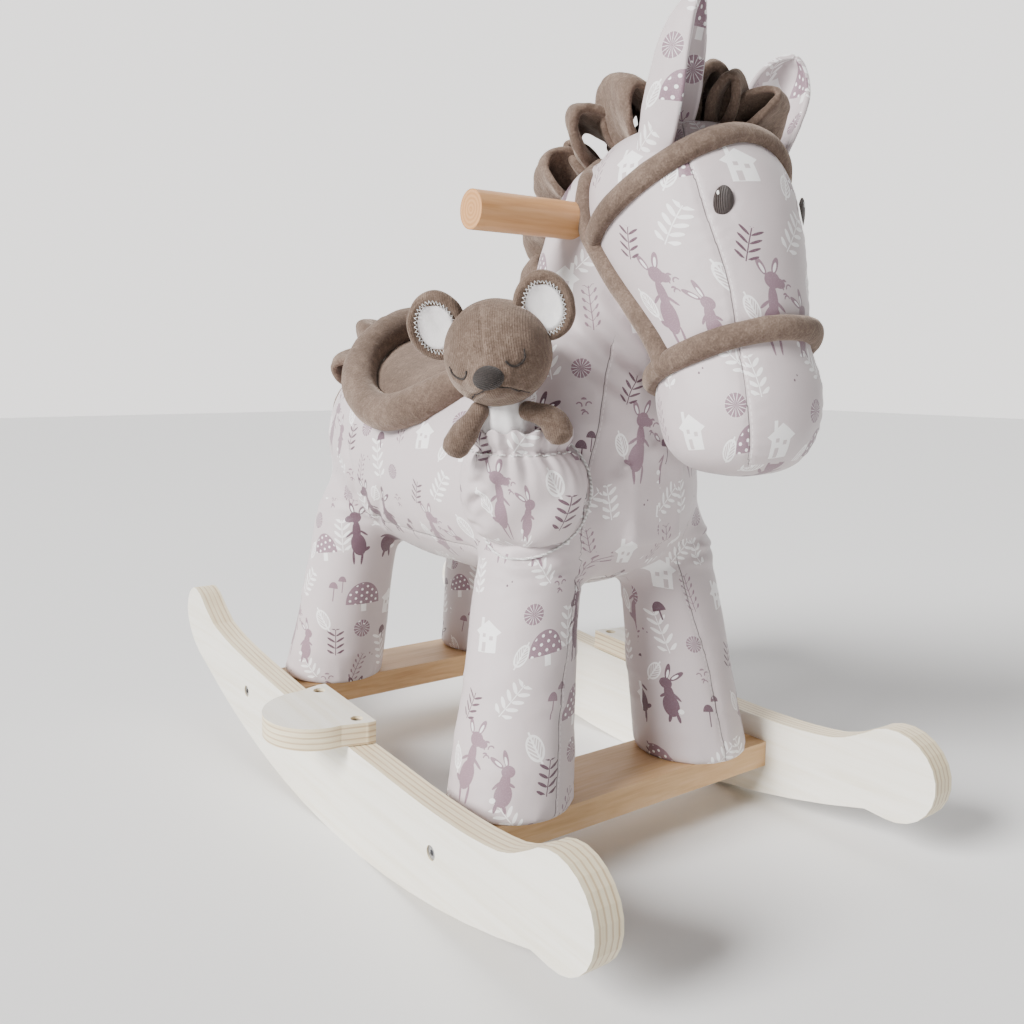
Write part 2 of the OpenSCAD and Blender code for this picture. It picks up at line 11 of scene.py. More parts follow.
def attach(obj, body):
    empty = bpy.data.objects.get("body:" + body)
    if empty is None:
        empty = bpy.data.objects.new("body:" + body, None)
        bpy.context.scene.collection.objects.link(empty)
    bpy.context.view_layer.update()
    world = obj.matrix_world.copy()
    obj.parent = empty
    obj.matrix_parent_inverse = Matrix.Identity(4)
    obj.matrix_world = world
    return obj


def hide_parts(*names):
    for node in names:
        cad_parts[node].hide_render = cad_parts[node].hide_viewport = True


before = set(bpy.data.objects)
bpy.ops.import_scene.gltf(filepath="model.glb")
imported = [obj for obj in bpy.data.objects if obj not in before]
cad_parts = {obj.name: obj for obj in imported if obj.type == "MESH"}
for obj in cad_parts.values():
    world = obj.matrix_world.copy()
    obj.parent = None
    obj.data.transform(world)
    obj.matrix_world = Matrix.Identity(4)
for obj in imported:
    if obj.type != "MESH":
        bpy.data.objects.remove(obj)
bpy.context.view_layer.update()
SH = np.array([0.0, 33.5571, 0.3448])  # the shape tables below count y from the flat strip of the rockers
scene = bpy.context.scene


def W(p):
    return (np.asarray(p, float) - SH) * 0.001


def unit(v):
    v = np.asarray(v, float)
    return v / max(1e-12, float(np.linalg.norm(v)))


# ------------------------------------------------------------------ camera
def make_camera():
    yaw, pit, roll = math.radians(35.7), math.radians(8.374), math.radians(0.267)
    fw = Vector((math.sin(yaw) * math.cos(pit), math.cos(yaw) * math.cos(pit), -math.sin(pit)))
    r0 = fw.cross(Vector((0, 0, 1))).normalized()
    u0 = r0.cross(fw)
    r = r0 * math.cos(roll) + u0 * math.sin(roll)
    u = -r0 * math.sin(roll) + u0 * math.cos(roll)
    cam = bpy.data.cameras.new("camera")
    cam.sensor_width = 36.0
    cam.lens = 980.1 / 1024 * 36.0
    cam.clip_start = 0.01
    ob = bpy.data.objects.new("camera", cam)
    scene.collection.objects.link(ob)
    m = Matrix(((r.x, u.x, -fw.x, -0.41372), (r.y, u.y, -fw.y, -0.594347), (r.z, u.z, -fw.z, 0.313695), (0, 0, 0, 1)))
    ob.matrix_world = m
    scene.camera = ob
    return ob


make_camera()


# ------------------------------------------------------------------ numbers
def _hash(i, j, k, seed):
    n = (i * 73856093) ^ (j * 19349663) ^ (k * 83492791) ^ (seed * 40503)
    n = n & 0xFFFFFFFF
    n = ((n ^ (n >> 13)) * 1274126177) & 0xFFFFFFFF
    n = n ^ (n >> 16)
    return (n & 0xFFFF) / 32767.5 - 1.0


def noise3(P, s, seed=1):
    Q = np.asarray(P, float) / s
    f = np.floor(Q)
    t = Q - f
    t = t * t * (3 - 2 * t)
    i = f.astype(np.int64)
    out = np.zeros(len(Q))
    for a in (0, 1):
        for b in (0, 1):
            for c in (0, 1):
                w = (t[:, 0] if a else 1 - t[:, 0]) * (t[:, 1] if b else 1 - t[:, 1]) * (t[:, 2] if c else 1 - t[:, 2])
                out += w * _hash(i[:, 0] + a, i[:, 1] + b, i[:, 2] + c, seed)
    return out


def fbm(P, s, n=3, seed=1):
    out = 0
    for k in range(n):
        out = out + noise3(P, s / 2**k, seed + 17 * k) / 2**k
    return out


def sstep(a, b, x):
    t = np.clip((np.asarray(x, float) - a) / (b - a), 0, 1)
    return t * t * (3 - 2 * t)


def cr(a, b, c, d, t):
    return 0.5 * (2 * b + (c - a) * t + (2 * a - 5 * b + 4 * c - d) * t * t + (3 * b - a - 3 * c + d) * t**3)


def dense(T, k, loop=False):
    T = np.asarray(T, float)
    n = len(T)
    out = []
    for i in range(n if loop else n - 1):
        if loop:
            a, b, c, d = T[(i - 1) % n], T[i], T[(i + 1) % n], T[(i + 2) % n]
        else:
            a, b, c, d = T[max(i - 1, 0)], T[i], T[i + 1], T[min(i + 2, n - 1)]
        for j in range(k):
            out.append(cr(a, b, c, d, j / k))
    if not loop:
        out.append(T[-1])
    return np.array(out)


def spow(v, e):
    return np.sign(v) * np.abs(v) ** e


def rings(T, k, n, e=2.0):
    D = dense(T, k)
    q = 2 * np.pi * np.arange(n) / n
    cu, sv = spow(np.cos(q), 2 / e), spow(np.sin(q), 2 / e)
    G = np.zeros((len(D), n, 3))
    for r, s in enumerate(D):
        a = math.radians(s[5])
        G[r, :, 0] = s[0] + s[3] * cu
        G[r, :, 1] = s[1] + s[4] * sv * math.cos(a)
        G[r, :, 2] = s[2] + s[4] * sv * math.sin(a)
    return G


# ------------------------------------------------------------------ meshes
def grid_faces(m, n, base=0, wrap=True):
    k = np.arange(m - 1)[:, None]
    i = np.arange(n if wrap else n - 1)[None, :]
    j = (i + 1) % n
    return np.stack([k * n + i, (k + 1) * n + i, (k + 1) * n + j, k * n + j], -1).reshape(-1, 4) + base


def closed_grid(G):
    """A stack of rings and its two end caps, as points and faces."""
    m, n = G.shape[:2]
    V = np.concatenate([G.reshape(-1, 3), [G[0].mean(0)], [G[-1].mean(0)]])
    F = grid_faces(m, n).tolist()
    for i in range(n):
        F.append([i, (i + 1) % n, m * n])
        F.append([(m - 1) * n + (i + 1) % n, (m - 1) * n + i, m * n + 1])
    return V, F


def make(name, V, F, fix=True):
    """V in metres."""
    me = bpy.data.meshes.new(name)
    me.from_pydata(np.asarray(V).tolist(), [], [list(f) for f in F])
    me.update()
    if fix:
        bm = bmesh.new()
        bm.from_mesh(me)
        bmesh.ops.recalc_face_normals(bm, faces=bm.faces)
        bm.to_mesh(me)
        bm.free()
    me.polygons.foreach_set("use_smooth", [True] * len(me.polygons))
    ob = bpy.data.objects.new(name, me)
    scene.collection.objects.link(ob)
    return ob


def join_parts(parts):
    V, F, o = [], [], 0
    for v, f in parts:
        V.append(np.asarray(v, float))
        F += [[i + o for i in g] for g in f]
        o += len(v)
    return np.concatenate(V), F


def coords(ob):
    me = ob.data
    a = np.empty(len(me.vertices) * 3)
    me.vertices.foreach_get("co", a)
    return a.reshape(-1, 3)


def set_coords(ob, V):
    ob.data.vertices.foreach_set("co", np.asarray(V, float).ravel())
    ob.data.update()


def normals(ob):
    me = ob.data
    a = np.empty(len(me.vertices) * 3)
    me.vertex_normals.foreach_get("vector", a)
    return a.reshape(-1, 3)


def edges(ob):
    me = ob.data
    a = np.empty(len(me.edges) * 2, dtype=np.int32)
    me.edges.foreach_get("vertices", a)
    return a.reshape(-1, 2)


def relax(V, E, w, it, lam=0.5):
    n = len(V)
    deg = np.maximum(1, np.bincount(E.ravel(), minlength=n))
    w = np.broadcast_to(np.asarray(w, float), (n,))
    for _ in range(it):
        S = np.stack([np.bincount(E[:, 0], V[E[:, 1], c], n) + np.bincount(E[:, 1], V[E[:, 0], c], n) for c in range(3)], 1)
        V = V + (w * lam)[:, None] * (S / deg[:, None] - V)
    return V


def bake_modifiers(ob):
    dg = bpy.context.evaluated_depsgraph_get()
    dg.update()
    me = bpy.data.meshes.new_from_object(ob.evaluated_get(dg), preserve_all_data_layers=True, depsgraph=dg)
    old = ob.data
    ob.modifiers.clear()
    ob.data = me
    bpy.data.meshes.remove(old)
    me.polygons.foreach_set("use_smooth", [True] * len(me.polygons))
    return ob


def voxel(name, parts, size, tidy=3):
    """One closed skin around several overlapping closed forms (millimetres in, metres out)."""
    V, F = join_parts(parts)
    ob = make(name, W(V), F)
    m = ob.modifiers.new("r", "REMESH")
    m.mode = "VOXEL"
    m.voxel_size = size * 0.001
    m.adaptivity = 0.0
    bake_modifiers(ob)
    if tidy:
        V = coords(ob)
        E = edges(ob)
        for _ in range(tidy):
            V = relax(V, E, 1, 1, 0.5)
            V = relax(V, E, 1, 1, -0.52)
        set_coords(ob, V)
    return ob


def subsurf(ob, n=1):
    m = ob.modifiers.new("s", "SUBSURF")
    m.levels = m.render_levels = n
    m.uv_smooth = "PRESERVE_BOUNDARIES"
    return bake_modifiers(ob)


def poly_sd(P, N, L):
    """Signed distance (mm) from points P with normals N to the line L, and the length along L."""
    L = np.asarray(L, float)
    best = np.full(len(P), 1e9)
    sd = np.full(len(P), 1e3)
    al = np.zeros(len(P))
    s0 = 0.0
    for a, b in zip(L[:-1], L[1:]):
        d = b - a
        ln = np.linalg.norm(d)
        t = np.clip(((P - a) @ d) / ln**2, 0, 1)
        c = a + t[:, None] * d
        r = P - c
        dist = np.linalg.norm(r, axis=1)
        side = np.sign((np.cross(N, d) * r).sum(1) + 1e-12)
        k = dist < best
        best[k] = dist[k]
        sd[k] = (dist * side)[k]
        al[k] = (s0 + t * ln)[k]
        s0 += ln
    return sd, al


def attr(ob, name, values):
    a = ob.data.attributes.new(name, "FLOAT", "POINT")
    a.data.foreach_set("value", np.asarray(values, np.float32))


def uv_faces(ob, fn, name="Print"):
    """fn(P per corner in old mm, N of the corner's face, face centre) -> u, v in metres."""
    me = ob.data
    n = len(me.loops)
    vi = np.empty(n, np.int32)
    me.loops.foreach_get("vertex_index", vi)
    ps = np.empty(len(me.polygons), np.int32)
    pt = np.empty(len(me.polygons), np.int32)
    me.polygons.foreach_get("loop_start", ps)
    me.polygons.foreach_get("loop_total", pt)
    fi = np.repeat(np.arange(len(ps)), pt)
    cen = np.empty(len(ps) * 3)
    me.polygons.foreach_get("center", cen)
    nor = np.empty(len(ps) * 3)
    me.polygons.foreach_get("normal", nor)
    P = coords(ob)[vi] * 1000 + SH
    uv = fn(P, nor.reshape(-1, 3)[fi], cen.reshape(-1, 3)[fi] * 1000 + SH)
    lay = me.uv_layers.new(name=name)
    lay.data.foreach_set("uv", np.asarray(uv, np.float32).ravel())


def tube_path(P, r, n=12, closed=False, up=None, flat=1.0, ends=True, N=None):
    """A tube along P (mm). flat squashes it along the normal N (or a transported frame)."""
    P = np.asarray(P, float)
    m = len(P)
    r = np.broadcast_to(np.asarray(r, float), (m,)).copy()
    if closed:
        D = np.roll(P, -1, 0) - np.roll(P, 1, 0)
    else:
        D = np.gradient(P, axis=0)
    D /= np.linalg.norm(D, axis=1)[:, None] + 1e-12
    G = []
    a = None
    for i in range(m):
        if N is not None:
            b = N[i] - D[i] * (N[i] @ D[i])
            b = unit(b)
        else:
            if a is None:
                h = np.array([0, 0, 1.0]) if up is None else np.asarray(up, float)
                if abs(h @ D[i]) > 0.95:
                    h = np.array([0, 1.0, 0])
                a = unit(np.cross(D[i], h))
            a = unit(a - D[i] * (a @ D[i]))
            b = np.cross(a, D[i])
        aa = np.cross(D[i], b)
        q = 2 * np.pi * np.arange(n) / n
        G.append(P[i] + r[i] * (np.cos(q)[:, None] * aa + flat * np.sin(q)[:, None] * b))
    G = np.array(G)
    if closed:
        V = G.reshape(-1, 3)
        F = grid_faces(m, n).tolist()
        for i in range(n):
            F.append([(m - 1) * n + i, i, (i + 1) % n, (m - 1) * n + (i + 1) % n])
        return V, F
    if ends:  # rounded ends
        pre, post = [], []
        for q in (80, 60, 35):
            c, s = math.cos(math.radians(q)), math.sin(math.radians(q))
            pre.append(P[0] - D[0] * r[0] * s * 0.8 + (G[0] - P[0]) * c)
            post.append(P[-1] + D[-1] * r[-1] * s * 0.8 + (G[-1] - P[-1]) * c)
        G = np.concatenate([np.array(pre), G, np.array(post[::-1])])
    return closed_grid(G)


def bvh_of(*obs):
    out = []
    for o in obs:
        me = o.data
        out.append(BVHTree.FromPolygons([v.co.copy() for v in me.vertices], [list(p.vertices) for p in me.polygons]))
    return out


def near(bvh, P):
    """Nearest points, normals and distances, in metres."""
    L = np.zeros((len(P), 3))
    N = np.zeros((len(P), 3))
    D = np.zeros(len(P))
    for i, p in enumerate(P):
        a, b, _, d = bvh.find_nearest(Vector(p))
        L[i], N[i], D[i] = a, b, d
    return L, N, D


# ------------------------------------------------------------------ materials
def new_mat(name, base=(0.5, 0.5, 0.5), rough=0.5, **kw):
    m = bpy.data.materials.new(name)
    m.use_nodes = True
    nt = m.node_tree
    b = nt.nodes["Principled BSDF"]
    b.inputs["Base Color"].default_value = (*base, 1)
    b.inputs["Roughness"].default_value = rough
    for k, v in kw.items():
        s = b.inputs[k.replace("_", " ")]
        s.default_value = v
    return m, nt, b


class Net:
    """Short words for building a shader network."""

    def __init__(self, nt):
        self.nt = nt

    def put(self, sock, v):
        if hasattr(v, "is_output"):
            self.nt.links.new(v, sock)
        elif v is not None:
            sock.default_value = v

    def m(self, op, a, b=None, c=None, clamp=False):
        n = self.nt.nodes.new("ShaderNodeMath")
        n.operation = op
        n.use_clamp = clamp
        for k, v in enumerate((a, b, c)):
            if v is not None:
                self.put(n.inputs[k], v)
        return n.outputs[0]

    def vm(self, op, a, b=None):
        n = self.nt.nodes.new("ShaderNodeVectorMath")
        n.operation = op
        self.put(n.inputs[0], a)
        if b is not None:
            self.put(n.inputs[1], b)
        return n.outputs["Value"] if op in ("LENGTH", "DOT_PRODUCT", "DISTANCE") else n.outputs[0]

    def sep(self, v):
        n = self.nt.nodes.new("ShaderNodeSeparateXYZ")
        self.put(n.inputs[0], v)
        return n.outputs

    def comb(self, x=0.0, y=0.0, z=0.0):
        n = self.nt.nodes.new("ShaderNodeCombineXYZ")
        for k, v in enumerate((x, y, z)):
            self.put(n.inputs[k], v)
        return n.outputs[0]

    def local(self, v, x, y, rot=0.0, sx=1.0, sy=1.0):
        n = self.nt.nodes.new("ShaderNodeMapping")
        n.vector_type = "TEXTURE"
        self.put(n.inputs["Vector"], v)
        n.inputs["Location"].default_value = (x, y, 0)
        n.inputs["Rotation"].default_value = (0, 0, math.radians(rot))
        n.inputs["Scale"].default_value = (sx, sy, 1)
        return n.outputs[0]

    def noise(self, v, scale, detail=2.0, rough=0.5, dist=0.0):
        n = self.nt.nodes.new("ShaderNodeTexNoise")
        if v is not None:
            self.put(n.inputs["Vector"], v)
        n.inputs["Scale"].default_value = scale
        n.inputs["Detail"].default_value = detail
        n.inputs["Roughness"].default_value = rough
        n.inputs["Distortion"].default_value = dist
        return n.outputs["Fac"]

    def mix(self, f, a, b):
        n = self.nt.nodes.new("ShaderNodeMix")
        n.data_type = "RGBA"
        self.put(n.inputs[0], f)
        for k, v in ((6, a), (7, b)):
            if isinstance(v, tuple) and len(v) == 3:
                v = (*v, 1)
            self.put(n.inputs[k], v)
        return n.outputs[2]

    def ramp(self, f, stops):
        n = self.nt.nodes.new("ShaderNodeValToRGB")
        self.put(n.inputs[0], f)
        el = n.color_ramp.elements
        while len(el) < len(stops):
            el.new(0.5)
        for e, (p, c) in zip(el, stops):
            e.position = p
            e.color = (*c, 1)
        return n.outputs[0]

    def bump(self, h, strength, dist, normal=None):
        n = self.nt.nodes.new("ShaderNodeBump")
        n.inputs["Strength"].default_value = strength
        n.inputs["Distance"].default_value = dist
        self.put(n.inputs["Height"], h)
        if normal is not None:
            self.put(n.inputs["Normal"], normal)
        return n.outputs[0]

    def obj(self):
        n = self.nt.nodes.new("ShaderNodeTexCoord")
        return n.outputs["Object"]

    def attr(self, name):
        n = self.nt.nodes.new("ShaderNodeAttribute")
        n.attribute_name = name
        return n.outputs["Fac"]


def srgb(h):
    h = h.lstrip("#")
    out = []
    for i in (0, 2, 4):
        c = int(h[i : i + 2], 16) / 255
        out.append(c / 12.92 if c <= 0.04045 else ((c + 0.055) / 1.055) ** 2.4)
    return tuple(out)


BASE, MID, DARK, WHITE = srgb("#CCC0C2"), srgb("#8E7480"), srgb("#644A57"), srgb("#FCFBFB")
TX, TY = 150.0, 141.0


class Motifs:
    """A small printed world of leaves, toadstools, cottages and woodland animals, on one repeat."""

    def __init__(self, net, v):
        self.n, self.v = net, v
        self.layers = {}

    def loc(self, x, y, rot=0.0, sx=1.0, sy=1.0):
        """Coordinates in a motif's own frame; v is (x, y, 1), so each is one dot product."""
        c, s = math.cos(math.radians(rot)), math.sin(math.radians(rot))
        dx = self.n.vm("DOT_PRODUCT", self.v, (c / sx, s / sx, -(c * x + s * y) / sx))
        dy = self.n.vm("DOT_PRODUCT", self.v, (-s / sy, c / sy, (s * x - c * y) / sy))
        return dx, dy

    def len2(self, p):
        return self.n.m("MULTIPLY_ADD", p[1], p[1], self.n.m("MULTIPLY", p[0], p[0]))

    def length(self, p):
        return self.n.m("SQRT", self.len2(p))

    def at(self, O, x, y, rx, ry, rot):
        if O is None:
            return x, y, rx, ry, rot
        ox, oy, k, mir, turn = O
        c, s = math.cos(math.radians(turn)), math.sin(math.radians(turn))
        x *= mir
        return ox + k * (x * c - y * s), oy + k * (x * s + y * c), rx * k, ry * k, rot * mir + turn

    def add(self, lay, d):
        """Joins a motif to its layer at once, so that few values are held at a time."""
        self.layers[lay] = self.n.m("MINIMUM", self.layers[lay], d) if lay in self.layers else d

    def ell(self, lay, x, y, rx, ry, rot=0.0, O=None):
        self.add(lay, self.len2(self.loc(*self.swap(self.at(O, x, y, rx, ry, rot)))))

    @staticmethod
    def swap(t):
        x, y, rx, ry, rot = t
        return x, y, rot, rx, ry

    def rect(self, lay, x, y, hx, hy, rot=0.0, O=None):
        p = self.loc(*self.swap(self.at(O, x, y, hx, hy, rot)))
        self.add(lay, self.n.m("MAXIMUM", self.n.m("ABSOLUTE", p[0]), self.n.m("ABSOLUTE", p[1])))

    def roof(self, lay, x, y, hx, hy, rot=0.0, O=None):
        p = self.loc(*self.swap(self.at(O, x, y, hx, hy, rot)))
        self.add(lay, self.n.m("ADD", self.n.m("ABSOLUTE", p[0]), self.n.m("ABSOLUTE", p[1])))

    def cap(self, lay, x, y, rx, ry, rot=0.0, O=None, cut=0.0):
        """Half an oval: a toadstool's cap."""
        p = self.loc(*self.swap(self.at(O, x, y, rx, ry, rot)))
        self.add(lay, self.n.m("MAXIMUM", self.len2(p), self.n.m("SUBTRACT", 1.0 + cut, self.n.m("MULTIPLY", p[1], 4.0))))

    def disc(self, x, y, r):
        p = self.loc(x, y, 0, r, r)
        d = self.length(p)
        self.add("mid", d)
        w = self.n.m("SINE", self.n.m("MULTIPLY", self.n.m("ARCTAN2", p[1], p[0]), 15.0))
        gap = self.n.m("ADD", self.n.m("MULTIPLY", self.n.m("ABSOLUTE", self.n.m("SUBTRACT", d, 0.52)), 2.5), self.n.m("MULTIPLY", self.n.m("SUBTRACT", 0.93, w), 6.0))
        self.add("top", gap)

    def sprig(self, lay, x, y, h, rot=0.0, pitch=4.2, leaf=(3.4, 1.0), lean=38.0, berry=False, stem=0.32):
        """A stem with pairs of leaves or berries."""
        n = self.n
        p = self.loc(x, y, rot, 1.0, 1.0)
        ax = n.m("ABSOLUTE", p[0])
        k = math.tan(math.radians(lean))
        cell = n.m("PINGPONG", n.m("SUBTRACT", p[1], n.m("MULTIPLY", ax, k)), pitch / 2)
        out = leaf[0] * 0.62 + 0.6
        if berry:
            q = (n.m("MULTIPLY", n.m("SUBTRACT", ax, out + 0.5), 1 / 1.05), n.m("MULTIPLY", cell, 1 / 1.05))
            d1 = n.m("MINIMUM", self.len2(q), n.m("MAXIMUM", n.m("MULTIPLY", cell, 4.0), n.m("MULTIPLY", ax, 1 / (out + 0.4))))
        else:
            q = (n.m("MULTIPLY", n.m("SUBTRACT", ax, out), 1 / (leaf[0] * 0.66)), n.m("MULTIPLY", cell, 1 / leaf[1]))
            d1 = self.len2(q)
        lim = n.m("MULTIPLY", n.m("ABSOLUTE", n.m("SUBTRACT", p[1], h * 0.55)), 1 / (h * 0.5))
        leaves = n.m("MAXIMUM", d1, lim)
        st = n.m("MAXIMUM", n.m("MULTIPLY", ax, 1 / stem), n.m("MULTIPLY", n.m("ABSOLUTE", n.m("SUBTRACT", p[1], h * 0.5)), 1 / (h * 0.52)))
        self.add(lay, n.m("MINIMUM", leaves, st))

    def leaf_line(self, lay, x, y, rx, ry, rot=0.0):
        """A leaf drawn as an outline with a mid rib."""
        n = self.n
        p = self.loc(x, y, rot, rx, ry)
        d = self.length(p)
        ring = n.m("MULTIPLY", n.m("ABSOLUTE", n.m("SUBTRACT", d, 0.9)), 10.0)
        ax = n.m("ABSOLUTE", p[0])
        rib = n.m("MAXIMUM", n.m("MULTIPLY", ax, 9.0), n.m("MULTIPLY", n.m("ABSOLUTE", p[1]), 0.8))
        vein = n.m("MAXIMUM", n.m("MULTIPLY", n.m("PINGPONG", n.m("ADD", n.m("SUBTRACT", p[1], ax), 4.0), 0.18), 14.0), n.m("MULTIPLY", d, 1.1))
        self.add(lay, n.m("MINIMUM", ring, n.m("MINIMUM", rib, vein)))

    def arcs(self, lay, x, y, r=1.7):
        n = self.n
        for dx, dy in ((-3.2, 0.6), (2.6, 1.0), (0.6, -4.6)):
            p = self.loc(x + dx, y + dy, 8 * dx, r, r)
            ring = n.m("MULTIPLY", n.m("ABSOLUTE", n.m("SUBTRACT", self.length(p), 1.0)), 4.0)
            self.add(lay, n.m("MAXIMUM", ring, n.m("SUBTRACT", 1.0, n.m("MULTIPLY", p[1], 3.0))))
        self.cap("mid", x - 0.4, y + 4.0, 1.7, 1.4)
        self.cap("mid", x - 0.6, y - 2.6, 1.5, 1.2)

    def fawn(self, lay, O):
        e = lambda x, y, a, b, r=0.0, l=lay: self.ell(l, x, y, a, b, r, O)
        e(-0.6, 15, 5.6, 9.0, -14)
        e(1.6, 25.5, 3.1, 8.5, -6)
        e(3.4, 36.6, 4.6, 4.4)
        e(7.0, 35.0, 4.4, 2.7, -16)
        e(-1.6, 43.6, 1.9, 4.6, 22)
        e(6.4, 43.8, 1.9, 4.6, -24)
        e(-3.6, 4.2, 0.95, 5.6, 4)
        e(2.6, 4.2, 0.95, 5.6, -6)
        e(5.6, 23.5, 0.9, 5.0, 48)
        e(-3.8, 24.5, 0.9, 3.6, -58)
        e(-6.6, 11.6, 1.5, 3.0, 58)
        e(-1.3, 42.8, 0.85, 2.7, 22, "top")
        e(6.1, 43.0, 0.85, 2.7, -24, "top")

    def hare(self, lay, O):
        e = lambda x, y, a, b, r=0.0, l=lay: self.ell(l, x, y, a, b, r, O)
        e(0.0, 10.0, 4.9, 6.8, -6)
        e(0.6, 17.0, 3.0, 5.6)
        e(0.0, 23.4, 3.9, 3.4, 10)
        e(3.0, 30.4, 1.5, 5.0, -24)
        e(7.6, 27.4, 1.5, 5.0, -62)
        e(-2.2, 3.0, 1.0, 3.4, -24)
        e(2.6, 2.6, 1.0, 3.2, 4)
        e(4.6, 15.0, 0.85, 3.4, 36)
        e(-3.2, 16.2, 0.85, 2.6, -62)
        e(2.7, 29.0, 0.7, 2.6, -24, "top")
        e(6.6, 27.0, 0.7, 2.6, -62, "top")
        e(4.9, 6.4, 1.7, 1.5, 0, "top")

    def cottage(self, O):
        self.rect("white", 0, 7, 7.6, 7.2, 0, O)
        self.roof("white", 0, 13, 11.0, 7.4, 0, O)
        self.rect("white", 5.2, 19, 1.3, 3.0, 0, O)
        self.rect("cut", 2.6, 3.2, 1.7, 3.0, 0, O)
        self.rect("cut", -3.2, 9.0, 1.5, 1.3, 0, O)
        self.rect("cut", 3.0, 10.6, 1.4, 1.2, 0, O)

    def field(self, lay):
        return self.layers[lay]


def print_colour(net):
    """The printed cloth's colour from the uv map of the pattern, in metres."""
    uvn = net.nt.nodes.new("ShaderNodeUVMap")
    uvn.uv_map = "Print"
    s = net.sep(uvn.outputs[0])
    x = net.m("MULTIPLY", s[0], 1000.0)
    y = net.m("MULTIPLY", s[1], 1000.0)
    col = net.m("FLOOR", net.m("DIVIDE", x, TX))
    lx = net.m("SUBTRACT", x, net.m("MULTIPLY", col, TX))
    y2 = net.m("ADD", y, net.m("MULTIPLY", col, TY * 0.5))
    row = net.m("FLOOR", net.m("DIVIDE", y2, TY))
    ly = net.m("SUBTRACT", y2, net.m("MULTIPLY", row, TY))
    v = net.comb(lx, ly, 1.0)
    M = Motifs(net, v)
    M.fawn("mid", (24, 66, 1.0, 1, 2))
    M.hare("mid", (47, 64, 1.0, -1, -4))
    M.hare("dark", (113, 8, 1.15, 1, 4))
    M.fawn("dark", (88, 5, 0.98, -1, -3))
    M.cottage((122, 100, 1.0, 1, -6))
    M.cottage((22, 12, 0.92, -1, 5))
    M.disc(93, 92, 7.0)
    M.disc(50, 36, 6.2)
    M.disc(136, 62, 5.6)
    # toadstools
    M.rect("white", 94, 110.5, 2.2, 4.5, 0)
    M.cap("mid", 94, 112, 14.5, 18.0, 0)
    M.rect("white", 63, 10.0, 2.0, 4.2, 8)
    M.cap("mid", 62, 12, 11.5, 15.0, 8)
    for (cx, cy, k) in ((70, 122, 1.0), (77, 128, 0.85), (136, 12, 1.0), (142, 19, 0.8)):
        lay = "mid" if cx < 100 else "dark"
        M.cap(lay, cx, cy + 3.5 * k, 3.6 * k, 5.2 * k, -6)
        M.rect(lay, cx + 0.2, cy - 1.4 * k, 0.42 * k, 5.6 * k, -6)
    M.sprig("dark", 72, 72, 20, 0, 5.0, (4.6, 1.05), 30)
    M.sprig("mid", 143, 84, 24, 8, 4.6, (4.0, 1.0), 42, berry=True)
    M.sprig("dark", 14, 112, 17, -18, 4.4, (4.2, 0.9), 34)
    M.sprig("mid", 84, 50, 22, -24, 4.4, (3.4, 0.9), 40, berry=True)
    M.sprig("white", 118, 56, 30, 14, 6.4, (5.4, 1.5), 34)
    M.sprig("white", 38, 118, 22, -34, 5.2, (4.8, 1.35), 30)
    M.sprig("white", 6, 44, 20, 10, 5.0, (4.2, 1.3), 30)
    M.sprig("white", 78, 14, 24, 4, 5.6, (4.6, 1.4), 36)
    M.leaf_line("white", 62, 100, 5.0, 8.6, 30)
    M.leaf_line("white", 104, 42, 4.4, 7.4, -40)
    M.leaf_line("white", 46, 12, 4.0, 7.0, -24)
    M.sprig("white", 132, 118, 20, -50, 5.0, (4.4, 1.3), 34)
    M.sprig("white", 58, 54, 18, 40, 5.0, (4.2, 1.25), 34)
    M.leaf_line("white", 12, 88, 4.2, 7.2, 18)
    M.cap("dark", 116, 84, 5.2, 6.4, 12)
    M.rect("dark", 116.6, 81.2, 0.7, 3.4, 12)
    M.arcs("mid", 34, 98)
    M.arcs("mid", 66, 52)
    M.arcs("mid", 138, 40)
    M.ell("mid", 100, 70, 0.8, 0.8)
    M.ell("mid", 103, 68, 0.6, 0.6)
    M.ell("dark", 30, 52, 0.7, 0.7)
    M.ell("dark", 33, 54.5, 0.55, 0.55)
    # white spots on the two big caps
    dots = M.loc(0, 0, 24)
    r2 = net.m("FLOOR", net.m("DIVIDE", dots[1], 4.6))
    dx = net.m("PINGPONG", net.m("ADD", dots[0], net.m("MULTIPLY", r2, 2.5)), 2.5)
    dy = net.m("SUBTRACT", net.m("SUBTRACT", dots[1], net.m("MULTIPLY", r2, 4.6)), 2.3)
    spot = net.m("LESS_THAN", M.len2((dx, dy)), 0.95)
    near_cap = net.m("LESS_THAN", net.m("MINIMUM", M.len2(M.loc(94, 112, 0, 13.6, 17.0)), M.len2(M.loc(62, 12, 8, 10.6, 14.0))), 1.0)
    # a faint dry-brush break-up inside the animals and caps
    speck = net.m("LESS_THAN", net.noise(v, 1.9, 0.0), 0.36)
    mid, dark, white, top, cut = (net.m("LESS_THAN", M.field(k), 1.0) for k in ("mid", "dark", "white", "top", "cut"))
    white = net.m("MULTIPLY", white, net.m("SUBTRACT", 1.0, cut))
    c = net.mix(net.m("MULTIPLY", white, 0.92), BASE, WHITE)
    c = net.mix(net.m("MULTIPLY", mid, net.m("SUBTRACT", 1.0, net.m("MULTIPLY", speck, 0.16))), c, MID)
    c = net.mix(net.m("MULTIPLY", dark, net.m("SUBTRACT", 1.0, net.m("MULTIPLY", speck, 0.12))), c, DARK)
    c = net.mix(net.m("MULTIPLY", top, 0.8), c, WHITE)
    c = net.mix(net.m("MULTIPLY", net.m("MULTIPLY", spot, near_cap), mid), c, WHITE)
    return c, x, y


